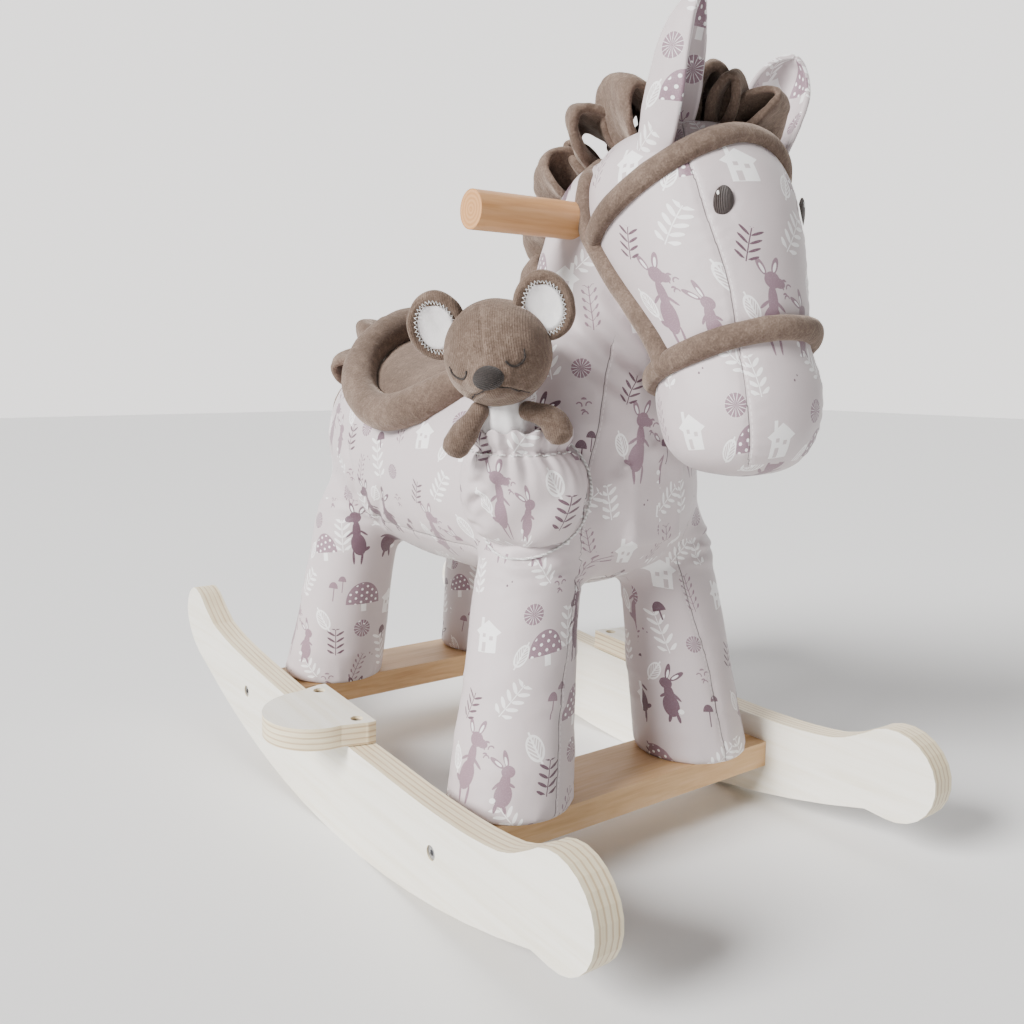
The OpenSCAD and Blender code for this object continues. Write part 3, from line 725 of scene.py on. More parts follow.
def cotton(name="printed_cotton", seams=True):
    m, nt, b = new_mat(name, BASE, 0.40)
    b.inputs["Specular IOR Level"].default_value = 0.42
    b.inputs["Sheen Weight"].default_value = 0.16
    b.inputs["Sheen Roughness"].default_value = 0.42
    net = Net(nt)
    c, x, y = print_colour(net)
    o = net.obj()
    tone = net.noise(o, 9.0, 2.0)
    c = net.mix(net.m("MULTIPLY", net.m("SUBTRACT", tone, 0.5), 0.18, clamp=True), c, srgb("#C9BFC2"))
    # fine satin threads
    wv = net.m("ADD", net.m("SINE", net.m("MULTIPLY", x, 14.0)), net.m("SINE", net.m("MULTIPLY", y, 17.0)))
    thread = net.m("ADD", net.m("MULTIPLY", wv, 0.18), net.m("MULTIPLY", net.noise(o, 1700.0, 1.0), 0.6))
    crease = net.noise(o, 95.0, 3.0, 0.55, 0.4)
    h = net.m("ADD", net.m("MULTIPLY", thread, 0.10), net.m("MULTIPLY", crease, 0.5))
    if seams:
        sd, sm, ss = net.attr("seam_sd"), net.attr("seam_m"), net.attr("seam_s")
        line = net.m("MULTIPLY", net.m("LESS_THAN", net.m("ABSOLUTE", sd), 0.34), sm)
        c = net.mix(net.m("MULTIPLY", line, 0.8), c, srgb("#4A4041"))
        dash = net.m("LESS_THAN", net.m("FLOORED_MODULO", ss, 3.4), 2.2)
        st = net.m("MULTIPLY", net.m("MULTIPLY", net.m("LESS_THAN", net.m("ABSOLUTE", net.m("SUBTRACT", sd, 1.5)), 0.3), dash), sm)
        c = net.mix(net.m("MULTIPLY", st, 0.45), c, srgb("#F1EDEC"))
        h = net.m("ADD", h, net.m("MULTIPLY", st, 0.5))
    nt.links.new(c, b.inputs["Base Color"])
    nt.links.new(net.bump(h, 0.55, 0.0014), b.inputs["Normal"])
    return m


def plush(name, dark="#4C3F37", mid="#69594F", light="#907D70", pile=1.0, rib=0.0, along=(1.0, 0.0, 0.0)):
    m, nt, b = new_mat(name, srgb(mid), 0.92)
    b.inputs["Specular IOR Level"].default_value = 0.12
    b.inputs["Sheen Weight"].default_value = 0.55
    b.inputs["Sheen Roughness"].default_value = 0.45
    b.inputs["Sheen Tint"].default_value = (*srgb("#D9C8BA"), 1)
    net = Net(nt)
    o = net.obj()
    fine = net.noise(o, 900.0 / pile, 2.0, 0.7)
    mid_n = net.noise(o, 210.0 / pile, 3.0, 0.6, 0.6)
    big = net.noise(o, 26.0, 2.0, 0.5, 0.3)
    f = net.m("ADD", net.m("MULTIPLY", fine, 0.42), net.m("ADD", net.m("MULTIPLY", mid_n, 0.38), net.m("MULTIPLY", big, 0.32)))
    c = net.ramp(f, [(0.34, srgb(dark)), (0.56, srgb(mid)), (0.80, srgb(light))])
    nt.links.new(c, b.inputs["Base Color"])
    h = net.m("ADD", net.m("MULTIPLY", fine, 0.5), mid_n)
    if rib:
        w = net.m("SINE", net.m("MULTIPLY", net.vm("DOT_PRODUCT", o, along), 5200.0))
        h = net.m("ADD", h, net.m("MULTIPLY", w, rib))
    nt.links.new(net.bump(h, 0.6, 0.0011), b.inputs["Normal"])
    return m


def satin(name):
    m, nt, b = new_mat(name, srgb("#EDEAEA"), 0.33)
    b.inputs["Specular IOR Level"].default_value = 0.5
    b.inputs["Sheen Weight"].default_value = 0.2
    net = Net(nt)
    o = net.obj()
    c = net.ramp(net.noise(o, 40.0, 3.0), [(0.3, srgb("#E2DDDF")), (0.7, srgb("#F6F4F3"))])
    nt.links.new(c, b.inputs["Base Color"])
    h = net.m("ADD", net.m("MULTIPLY", net.noise(o, 1500.0, 1.0), 0.2), net.noise(o, 110.0, 3.0, 0.6, 0.6))
    nt.links.new(net.bump(h, 0.45, 0.0014), b.inputs["Normal"])
    return m


def white_ply(name, thick):
    """White lacquered laminated board: white faces, layers on the cut edges. thick: 'x' or 'z'."""
    m, nt, b = new_mat(name, srgb("#F0EDE2"), 0.42)
    b.inputs["Specular IOR Level"].default_value = 0.4
    net = Net(nt)
    o = net.obj()
    p = net.sep(o)
    geo = nt.nodes.new("ShaderNodeNewGeometry")
    ns = net.sep(net.vm("ABSOLUTE", geo.outputs["Normal"]))
    t = net.m("ABSOLUTE", p[0]) if thick == "x" else net.m("ADD", p[2], net.m("MULTIPLY", p[1], -0.0524))
    edge = net.m("LESS_THAN", ns[0] if thick == "x" else ns[2], 0.72)
    wob = net.m("MULTIPLY", net.m("SUBTRACT", net.noise(o, 22.0, 3.0), 0.5), 0.0007)
    lay = net.m("MULTIPLY", net.m("ADD", t, wob), 1000.0)
    fr = net.m("FLOORED_MODULO", net.m("SUBTRACT", lay, 127.9 if thick == "x" else 71.2), 3.9)
    band = net.m("LESS_THAN", net.m("ABSOLUTE", net.m("SUBTRACT", fr, 1.9)), 0.55)
    stretch = net.vm("MULTIPLY", o, (700.0, 26.0, 26.0) if thick == "x" else (26.0, 26.0, 900.0))
    grain = net.noise(stretch, 1.0, 3.0, 0.6)
    pale = net.ramp(grain, [(0.3, srgb("#E3D2AE")), (0.7, srgb("#F1E7CC"))])
    dk = net.ramp(grain, [(0.3, srgb("#A98560")), (0.7, srgb("#CDAE84"))])
    ed = net.mix(net.m("MULTIPLY", band, 0.62), pale, dk)
    streak = net.noise(net.vm("MULTIPLY", o, (8.0, 6.0, 130.0) if thick == "x" else (130.0, 6.0, 8.0)), 1.0, 4.0, 0.6, 0.4)
    face = net.ramp(streak, [(0.30, srgb("#E6DFCC")), (0.52, srgb("#EFEBDF")), (0.8, srgb("#F4F1E8"))])
    c = net.mix(edge, face, ed)
    nt.links.new(c, b.inputs["Base Color"])
    h = net.m("ADD", net.m("MULTIPLY", streak, 0.5), net.m("MULTIPLY", net.m("MULTIPLY", band, edge), -0.5))
    nt.links.new(net.bump(h, 0.25, 0.0006), b.inputs["Normal"])
    return m


def timber(name, axis, lo, mid, hi, rough=0.5, scale=1.0, end=None):
    """Plain wood with its grain along one axis."""
    m, nt, b = new_mat(name, srgb(mid), rough)
    b.inputs["Specular IOR Level"].default_value = 0.35
    net = Net(nt)
    o = net.obj()
    st = {"x": (7.0, 90.0, 90.0), "y": (90.0, 7.0, 90.0), "z": (90.0, 90.0, 7.0)}[axis]
    st = tuple(q * scale for q in st)
    g = net.noise(net.vm("MULTIPLY", o, st), 1.0, 5.0, 0.65, 0.5)
    st2 = tuple(q * 7 for q in st)
    pores = net.noise(net.vm("MULTIPLY", o, st2), 1.0, 2.0, 0.6)
    f = net.m("ADD", net.m("MULTIPLY", g, 0.72), net.m("MULTIPLY", pores, 0.28))
    c = net.ramp(f, [(0.32, srgb(lo)), (0.5, srgb(mid)), (0.7, srgb(hi))])
    if end:
        p = net.sep(o)
        geo = nt.nodes.new("ShaderNodeNewGeometry")
        ns = net.sep(net.vm("ABSOLUTE", geo.outputs["Normal"]))
        e = net.m("GREATER_THAN", ns["xyz".index(axis)], 0.7)
        a, bb = {"x": (1, 2), "y": (0, 2), "z": (0, 1)}[axis]
        rr = net.vm("LENGTH", net.comb(net.m("SUBTRACT", p[a], end[0]), net.m("SUBTRACT", p[bb], end[1]), 0.0))
        w = net.m("ADD", net.m("MULTIPLY", net.m("SINE", net.m("MULTIPLY", net.m("ADD", rr, net.m("MULTIPLY", g, 0.002)), 2600.0)), 0.25), 0.5)
        ce = net.ramp(w, [(0.2, srgb(lo)), (0.8, srgb(mid))])
        c = net.mix(e, c, ce)
    nt.links.new(c, b.inputs["Base Color"])
    nt.links.new(net.bump(f, 0.18, 0.0005), b.inputs["Normal"])
    return m


def metal(name, base="#A9A9AB", rough=0.38):
    m, nt, b = new_mat(name, srgb(base), rough, Metallic=1.0)
    net = Net(nt)
    o = net.obj()
    n1 = net.noise(o, 350.0, 3.0)
    c = net.ramp(n1, [(0.3, srgb("#8D8D90")), (0.7, srgb("#B9B9BB"))])
    nt.links.new(c, b.inputs["Base Color"])
    nt.links.new(net.bump(n1, 0.15, 0.0003), b.inputs["Normal"])
    return m


def thread_mat(name, col, rough=0.6, freq=2600.0, axis=2):
    m, nt, b = new_mat(name, srgb(col), rough)
    b.inputs["Sheen Weight"].default_value = 0.08
    net = Net(nt)
    o = net.obj()
    p = net.sep(o)
    w = net.m("SINE", net.m("MULTIPLY", net.m("ADD", p[axis], net.m("MULTIPLY", p[0], 0.35)), freq))
    n1 = net.noise(o, 1300.0, 2.0)
    base = srgb(col)
    c = net.ramp(net.m("ADD", net.m("MULTIPLY", w, 0.18), n1), [(0.25, tuple(q * 0.55 for q in base)), (0.8, tuple(min(1, q * 1.7 + 0.01) for q in base))])
    nt.links.new(c, b.inputs["Base Color"])
    nt.links.new(net.bump(net.m("ADD", w, n1), 0.5, 0.0006), b.inputs["Normal"])
    return m


M_COTTON = cotton("printed_cotton", True)
M_COTTON2 = cotton("printed_cotton_plain", False)
M_PLUSH = plush("brown_plush")
_fy = -unit([-0.665, -0.67, -0.333])
_ez = unit(np.cross([0.788, -0.571, 0.237], _fy))
M_MOUSE = plush("mouse_plush", "#46392F", "#64544A", "#8B796C", 0.8, 0.10, tuple(float(q) for q in np.cross(_fy, _ez)))
M_SATIN = satin("white_satin")
M_ROCK = white_ply("white_board_upright", "x")
M_FOOT = white_ply("white_board_flat", "z")
M_OAK = timber("board_timber", "x", "#B98F62", "#CFA97C", "#DEBD95", 0.5, 0.8)
M_BEECH = timber("handle_beech", "x", "#BC8552", "#D2A06F", "#E0B68C", 0.4, 0.7, end=(-0.1455571, 0.3966552))
M_PINE = timber("frame_timber", "z", "#C9A877", "#DDC196", "#E9D3AE", 0.6, 0.6)
M_STEEL = metal("zinc_steel")
M_EYE = thread_mat("eye_thread", "#2B1E1A", 0.5, 6400.0, 0)
# painted highlight: a near-white, stitch-textured material for the small domes that stand in for the key light's
# reflection on the eyes
M_GLINT = thread_mat("painted_eye_highlight", "#EFEDEB", 0.5, 3000.0, 0)
M_NOSE = thread_mat("nose_cloth", "#231B18", 0.75, 7000.0, 2)
M_DARKTHREAD = thread_mat("dark_thread", "#241A15", 0.8)
M_PALETHREAD = thread_mat("pale_thread", "#F0ECE8", 0.6)


def give(ob, mat):
    ob.data.materials.clear()
    ob.data.materials.append(mat)


def horse(ob, mat, nodes=()):
    give(ob, mat)
    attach(ob, HORSE)
    if nodes:
        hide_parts(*nodes)
    return ob


def mouse(ob, mat, nodes=()):
    give(ob, mat)
    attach(ob, MOUSE)
    if nodes:
        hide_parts(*nodes)
    return ob


HORSE, MOUSE = "horse", "mouse"


# ------------------------------------------------------------------ shape tables, old millimetres
TORSO = [[0, -137, 236, 8, 8, 90], [0, -134, 236, 26, 22, 90], [0, -124, 237, 45, 38, 90], [0, -105, 239, 66, 55, 90], [0, -70, 242, 84, 69, 90], [0, -20, 244, 92, 75, 90],
         [0, 40, 247, 92, 78, 90], [0, 88, 251, 91, 80, 90], [0, 128, 255, 86, 78, 90], [0, 166, 257, 73, 69, 90], [0, 194, 257, 53, 52, 90], [0, 211, 256, 33, 32, 90], [0, 219, 255, 8, 8, 90]]
NECK = [[0, -64, 236, 62, 48, 0], [0, -70, 262, 74, 64, 0], [0, -80, 295, 67, 60, 0], [0, -88, 325, 61, 56, 0], [0, -96, 355, 56, 52, 0], [0, -103, 385, 52, 49, 0], [0, -111, 412, 46, 44, 0], [0, -117, 430, 34, 34, 0], [0, -120, 436, 10, 10, 0]]
HEAD = [[0, -197, 256, 7, 7, 0], [0, -197, 260, 25, 25, 0], [0, -197, 270, 37, 37, 0], [0, -197, 287, 43, 42.5, 0], [0, -195, 306, 44, 43.5, 0], [0, -188, 325, 42.5, 43.5, 0], [0, -178, 346, 47, 50, 0],
        [0, -167, 368, 51.5, 57, 0], [0, -158, 390, 54.5, 62, 0], [0, -153, 410, 53, 60, 0], [0, -150, 427, 46, 53, 0], [0, -149, 439, 35, 41, 0], [0, -149, 446, 20, 24, 0], [0, -149, 448, 7, 7, 0]]


def leg_table(b, s):
    if b == 0:
        x, y, z = 78, -93, 49.5
        T = [[x, y, z, 37, 38, 0], [x, y, z + 1.5, 38.6, 39.6, 0], [x, y, z + 6, 39, 40, 0], [x - 6, y + 3, z + 45, 37, 37.5, 0], [x - 13, y + 6, z + 95, 34, 34, 0], [x - 20, y + 9, z + 140, 32, 32, 0], [x - 27, y + 10, z + 172, 29, 29, 0], [x - 32, y + 12, z + 188, 20, 20, 0]]
    else:
        x, y, z = 75, 161, 66
        T = [[x, y, z, 37, 38, 0], [x, y, z + 1.5, 38.6, 39.6, 0], [x, y, z + 6, 39, 40, 0], [x - 4, y - 6, z + 38, 37, 37.5, 0], [x - 8, y - 13, z + 80, 35, 35, 0], [x - 12, y - 20, z + 122, 33, 35, 0], [x - 18, y - 24, z + 154, 29, 32, 0], [x - 24, y - 24, z + 172, 20, 22, 0]]
    return [[s * t[0]] + t[1:] for t in T]


LEGS = [(0, -1), (0, 1), (1, -1), (1, 1)]
HD = dense(HEAD, 10)
TD = dense(TORSO, 10)


def head_pt(z, q, g=0.0):
    z, q = np.asarray(z, float), np.radians(np.asarray(q, float))
    f = lambda k: np.interp(z, HD[:, 2], HD[:, k])
    return np.stack([(f(3) + g) * spow(np.cos(q), 2 / 2.1), f(1) + (f(4) + g) * spow(np.sin(q), 2 / 2.1), z + 0 * q], -1)


def torso_pt(y, q, g=0.0):
    y, q = np.asarray(y, float), np.radians(np.asarray(q, float))
    f = lambda k: np.interp(y, TD[:, 1], TD[:, k])
    return np.stack([(f(3) + g) * spow(np.sin(q), 2 / 2.1), y + 0 * q, f(2) + (f(4) + g) * spow(np.cos(q), 2 / 2.1)], -1)


def to_old(L):
    return np.asarray(L, float) + SH


def mirror(L):
    return np.asarray(L, float) * np.array([-1.0, 1, 1])


# seams: side panel against the gusset under the neck and down the legs, and along the belly
CHEST = to_old([[-36.3, -166.2, 326.8], [-38.5, -163.2, 307.0], [-40.5, -160.3, 278.1], [-43.5, -155.3, 254.5], [-46.4, -154.9, 225.0], [-41.7, -145.2, 198.9], [-46.6, -147.9, 175.3], [-54.2, -152.2, 146.6], [-62.3, -157.1, 118.4], [-67.4, -161.2, 89.8], [-72.4, -165.2, 61.4], [-73.6, -165.9, 50.7]])
FACE = to_old([[-24.0, -205.4, 442.1], [-30.0, -212.4, 435.1], [-37.5, -223.2, 419.0], [-38.3, -230.9, 405.5], [-37.8, -237.2, 390.1], [-33.4, -244.9, 367.7], [-30.9, -249.4, 350.4], [-29.5, -253.1, 330.5], [-29.9, -258.2, 313.1], [-29.9, -262.5, 293.3], [-26.9, -261.9, 278.1], [-20.7, -256.0, 264.6]])
BELLY = torso_pt(np.linspace(-56, 100, 12), np.full(12, -124.0))


def folds(P, N, table):
    """Pressed-in creases: each is (line, depth, width, roll beside it)."""
    h = np.zeros(len(P))
    for L, depth, width, roll in table:
        L = dense(L, 6)
        lo, hi = L.min(0) - 22, L.max(0) + 22
        k = np.where(((P > lo) & (P < hi)).all(1))[0]
        if not len(k):
            continue
        sd, al = poly_sd(P[k], N[k], L)
        ln = np.linalg.norm(np.diff(L, axis=0), axis=1).sum()
        taper = sstep(0, 0.22, al / ln) * sstep(1.0, 0.78, al / ln)
        h[k] += taper * (-depth * np.exp(-((sd / width) ** 2)) + roll * np.exp(-(((np.abs(sd) - 2.1 * width) / (1.2 * width)) ** 2)))
    return h


def seam_fields(ob, P, N, lines, groove=0.9, pucker=0.45, seed=3):
    """Fills the seam attributes and returns the height that the seams press in."""
    best = np.full(len(P), 1e9)
    sd, al = np.full(len(P), 50.0), np.zeros(len(P))
    for L, flip in lines:
        a, b = poly_sd(P, N, dense(L, 6))
        k = np.abs(a) < best
        best[k] = np.abs(a)[k]
        sd[k] = (a * flip)[k]
        al[k] = b[k]
    near_ = sstep(7.0, 4.0, best)
    attr(ob, "seam_sd", np.clip(sd, -12, 12))
    attr(ob, "seam_m", near_)
    attr(ob, "seam_s", al)
    wob = noise3(P, 9.0, seed) * 2.2
    h = -groove * np.exp(-((best / 1.5) ** 2)) + pucker * np.sin(al * 2 * math.pi / 7.3 + wob) * np.exp(-best / 6.5) * sstep(0.0, 2.2, best) * (0.55 + 0.45 * noise3(P, 24.0, seed + 1))
    return h


def near_tree(ob):
    dg = bpy.context.evaluated_depsgraph_get()
    me = ob.evaluated_get(dg).to_mesh()
    M = ob.matrix_world
    return BVHTree.FromPolygons([M @ v.co for v in me.vertices], [list(p.vertices) for p in me.polygons])


def body_cover():
    forms = [closed_grid(rings(TORSO, 6, 72, 2.1)), closed_grid(rings(NECK, 6, 60))] + [closed_grid(rings(leg_table(b, s), 6, 56)) for b, s in LEGS]
    ob = voxel("horse_body_cover", forms, 2.9, 4)
    trees = [BVHTree.FromPolygons([Vector(v) for v in W(v)], [list(f) for f in F]) for v, F in forms]
    V = coords(ob)
    E = edges(ob)
    D = np.stack([near(t, V)[2] * 1000 for t in trees], 1)
    label = D.argmin(1)
    d2 = np.sort(D, 1)[:, 1]
    w = sstep(20, 5, d2) * sstep(52, 62, V[:, 2] * 1000)
    V = relax(V, E, w, 34, 0.6)
    # the stuffing keeps the cover clear of the frame inside it
    hid = [near_tree(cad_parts[k]) for k in ("body_board", "front_leg_posts", "rear_leg_posts", "neck_post", "body_board_screws", "neck_post_screws")]
    for _ in range(3):
        set_coords(ob, V)
        N = normals(ob)
        for t in hid:
            for i in np.where(V[:, 2] > 0.085)[0]:
                loc, nr, _, d = t.find_nearest(Vector(V[i]), 0.009)
                if loc is None:
                    continue
                if (Vector(V[i]) - loc).dot(nr) < 0:
                    d = -d
                if d < 0.0042:
                    V[i] = V[i] + N[i] * (0.0042 - d)
        V = relax(V, E, 0.5, 1, 0.5)
    set_coords(ob, V)
    N = normals(ob)
    P = V * 1000 + SH
    # soft unevenness of a hand-stuffed cover
    h = 0.8 * fbm(P, 58, 2, 5) + 0.34 * fbm(P, 19, 2, 9) + 0.5 * sstep(0.1, 0.7, noise3(P * np.array([1.0, 0.7, 1.7]), 21, 12)) * sstep(190, 215, P[:, 2])
    # drawn folds around each leg's root and around the neck's root
    for i in range(2, 6):
        b, s = LEGS[i - 2]
        ax = np.array([s * (58 if b == 0 else 61), -84 if b == 0 else 140, 0.0])
        zj = 192 if b == 0 else 202
        ang = np.arctan2(P[:, 1] - ax[1], P[:, 0] - ax[0])
        g = np.exp(-(((P[:, 2] - zj) / 16) ** 2)) * sstep(60, 40, np.hypot(P[:, 0] - ax[0], P[:, 1] - ax[1]))
        h += g * 0.55 * np.sin(P[:, 2] * 0.62 + 1.7 * np.sin(2 * ang + i) + 2.0 * noise3(P, 30, 20 + i)) * (0.5 + 0.5 * noise3(P, 26, 40 + i))
        low = np.exp(-(((P[:, 2] - (49.5 if b == 0 else 66) - 3) / 9) ** 2)) * (np.hypot(P[:, 0] - s * 77, P[:, 1] - (-93 if b == 0 else 161)) < 50)
        h += low * 0.35 * np.sin(ang * 26 + 2 * noise3(P, 12, 60 + i))
        leg = sstep(214, 176, P[:, 2]) * (label == i)
        h += leg * 0.55 * noise3(P * np.array([1, 1, 0.45]), 19, 70 + i)
        # short level creases where the cover is drawn over the stuffing
        cz = noise3(P * np.array([0.42, 0.42, 1.9]), 17, 80 + i)
        h += leg * 0.75 * sstep(0.05, 0.6, cz) * (0.35 + 0.65 * sstep(-0.2, 0.5, noise3(P, 34, 90 + i)))
    table = [([[-55, -109, 336], [-41, -128, 313], [-18, -138, 296]], 2.2, 4.2, 1.2), ([[-51, -117, 352], [-32, -135, 324], [-5, -141, 304]], 2.0, 4.6, 1.2),
             ([[-43, -129, 358], [-22, -141, 336], [2, -143, 315]], 1.8, 4.4, 1.0), ([[-17, -137, 284], [12, -133, 265], [35, -128, 251]], 1.2, 4.0, 0.8),
             ([[-70, -48, 197], [-79, -103, 202], [-45, -113, 202]], 1.3, 2.4, 0.8), ([[-88, -79, 195], [-76, -109, 192], [-50, -116, 193]], 1.0, 2.2, 0.6),
             ([[-88, 107, 267], [-89, 93, 239], [-77, 102, 211]], 1.6, 4.2, 1.0), ([[-89, 40, 236], [-84, 62, 214], [-66, 100, 190]], 1.5, 4.0, 0.8),
             ([[28, -83, 176], [34, -104, 183], [51, -115, 189]], 1.2, 2.4, 0.6), ([[-62, -64, 322], [-70, -92, 300], [-66, -116, 282]], 1.6, 4.4, 0.9)]
    full = table + [(mirror(np.array(t[0])), *t[1:]) for t in table]
    h += 1.35 * folds(P, N, full)
    h += seam_fields(ob, P, N, [(CHEST, 1), (mirror(CHEST), -1), (BELLY, 1), (mirror(BELLY), -1)], 0.9, 0.5)
    foot = np.where(P[:, 1] < 20, 49.5, 66.0)
    keep = sstep(0.4, 3.0, P[:, 2] - foot)
    V = V + N * (h * keep)[:, None] * 0.001
    set_coords(ob, V)

    def uv(Pc, Nf, Cf):
        P_, C_ = Pc, Cf
        out = np.zeros((len(P_), 2))
        s = np.where(C_[:, 0] < 0, -1.0, 1.0)
        # trunk: length along y, height along the girth
        yc = np.clip(C_[:, 1], -130, 210)
        cz = np.interp(P_[:, 1], TD[:, 1], TD[:, 2])
        hz = np.interp(np.clip(P_[:, 1], -110, 190), TD[:, 1], TD[:, 4])
        hx = np.interp(np.clip(P_[:, 1], -110, 190), TD[:, 1], TD[:, 3])
        a = np.arctan2((P_[:, 2] - cz) / hz, np.abs(P_[:, 0]) / hx)
        out[:, 0] = P_[:, 1] * s
        out[:, 1] = cz + a * (hz + hx) / 2
        # neck and chest: wrapped round an upright axis
        c_leg = np.zeros(len(P_), bool)
        fz = np.clip(C_[:, 2], 236, 430)
        ny = np.interp(fz, [q[2] for q in NECK], [q[1] for q in NECK])
        neckish = (C_[:, 2] > 244) & (C_[:, 1] < -20 - (C_[:, 2] - 290) * 0.4) & (np.hypot(C_[:, 0] / 76, (C_[:, 1] - ny) / 66) < 1.12)
        chest = (C_[:, 1] < -96) & (C_[:, 2] > 196)
        k = neckish | chest
        th = np.arctan2(P_[:, 0] * s, -(P_[:, 1] - (-84)))  # 0 forwards, pi/2 at the side
        uu = s * (-84 - 0 + (th - math.pi / 2) * 62)
        out[k, 0] = uu[k]
        out[k, 1] = P_[k, 2]
        for b, sg in LEGS:
            x0, y0 = (66 if b == 0 else 66) * sg, (-86 if b == 0 else 148)
            top = 204 if b == 0 else 214
            kk = (C_[:, 2] < top) & (np.hypot(C_[:, 0] - x0, C_[:, 1] - y0) < 56) & (np.abs(C_[:, 0]) > 8)
            lx = np.interp(P_[:, 2], [50, 212], [78, 54] if b == 0 else [75, 58]) * sg
            ly = np.interp(P_[:, 2], [50, 212], [-93, -82] if b == 0 else [161, 140])
            rel = np.interp(C_[:, 2], [50, 212], [78, 54] if b == 0 else [75, 58]) * sg
            relY = np.interp(C_[:, 2], [50, 212], [-93, -82] if b == 0 else [161, 140])
            tc = np.arctan2(C_[:, 1] - relY, (C_[:, 0] - rel) * sg)
            t = np.arctan2(P_[:, 1] - ly, (P_[:, 0] - lx) * sg)
            t = t + 2 * math.pi * np.round((tc - t) / (2 * math.pi))
            du, dv = {(0, -1): (-85.0, -24.0), (0, 1): (-18.0, 40.0), (1, -1): (30.0, 22.0), (1, 1): (0.0, 0.0)}[(b, sg)]
            out[kk, 0] = (sg * (ly + t * 36) + du)[kk]
            out[kk, 1] = P_[kk, 2] + dv
        return out * 0.001 + np.array([0.012, 0.030])

    uv_faces(ob, uv)
    return horse(ob, M_COTTON, ["torso", "neck", "leg_front_right", "leg_front_left", "leg_rear_right", "leg_rear_left"])


def head_cover():
    k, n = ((12, 220))
    G = rings(HEAD, k, n, 2.1)
    V, F = closed_grid(G)
    ob = make("horse_head_cover", W(V), F)
    E = edges(ob)
    ob_v = relax(coords(ob), E, 1, 3, 0.5)
    set_coords(ob, ob_v)
    N = normals(ob)
    P = coords(ob) * 1000 + SH
    h = 0.6 * fbm(P, 46, 2, 15) + 0.16 * fbm(P, 14, 2, 19)
    h += seam_fields(ob, P, N, [(FACE, 1), (mirror(FACE), -1)], 0.8, 0.55, 13)
    for sg in (-1, 1):  # the embroidery pulls small rays into the cloth around each eye
        c = head_pt(397, 270 + sg * 33)
        r = P - c
        d = np.linalg.norm(r * np.array([1.15, 1.15, 0.85]), axis=1)
        near_ = (d < 26)
        tz = np.arctan2(r[:, 2], r[:, 0] * 0.86 + r[:, 1] * sg * -0.5)
        h += near_ * 0.5 * np.sin(tz * 13 + 1.3 * noise3(P, 9, 23)) * np.exp(-(((d - 10.5) / 4.5) ** 2)) * (0.5 + 0.5 * noise3(P, 12, 24))
        h += -1.0 * np.exp(-((d / 8.0) ** 2))
    # the nose band draws the cloth in, with small folds beside it
    q = np.degrees(np.arctan2(P[:, 1] - np.interp(P[:, 2], HD[:, 2], HD[:, 1]), P[:, 0]))
    zb = 319 - 16 * np.sin(np.radians(q))
    d = P[:, 2] - zb
    h += -1.2 * np.exp(-((d / 7) ** 2)) + 0.38 * np.sin(q * 0.42 + 3 * noise3(P, 22, 31)) * np.exp(-(((np.abs(d) - 9) / 6) ** 2)) * (0.4 + 0.6 * noise3(P, 20, 33))
    V = coords(ob) + N * h[:, None] * 0.001
    set_coords(ob, V)
    prof = np.concatenate([[0], np.cumsum(np.hypot(np.diff(HD[:, 2]), np.diff(HD[:, 4] - HD[:, 1])))])
    zz = HD[:, 2]
    fz = np.array([q[2] for q in FACE])[::-1]
    fx = np.abs(np.array([q[0] for q in FACE]))[::-1]

    def uv(P_, Nf, C_):
        cy = np.interp(P_[:, 2], HD[:, 2], HD[:, 1])
        ccy = np.interp(C_[:, 2], HD[:, 2], HD[:, 1])
        tc = np.arctan2(C_[:, 0], -(C_[:, 1] - ccy))
        t = np.arctan2(P_[:, 0], -(P_[:, 1] - cy))
        t = t + 2 * math.pi * np.round((tc - t) / (2 * math.pi))
        R = np.clip(np.interp(C_[:, 2], [256, 290, 330, 368, 400, 440], [40, 43, 45, 50, 55, 50]), 40, 55) * 0 + 51.0
        u = t * R
        v = P_[:, 2] + 0.35 * (np.interp(P_[:, 2], zz, prof) - (P_[:, 2] - 256))
        gus = (np.abs(C_[:, 0]) < np.interp(C_[:, 2], fz, fx)) & (C_[:, 1] < ccy)
        out = np.stack([u, v], 1)
        out[gus, 0] += 36
        out[gus, 1] += 18
        out[~gus, 0] += np.where(C_[~gus, 0] < 0, 8.0, 64.0)
        out[~gus, 1] -= 14
        near_side = ~gus & (C_[:, 0] < 0)
        out[near_side, 0] -= 63
        out[near_side, 1] += 99
        under = (Nf[:, 2] < -0.72) & (C_[:, 2] < 268)
        out[under] = P_[under][:, :2] * 1.0 + 30
        return out * 0.001

    uv_faces(ob, uv)
    return horse(ob, M_COTTON, ["head"])


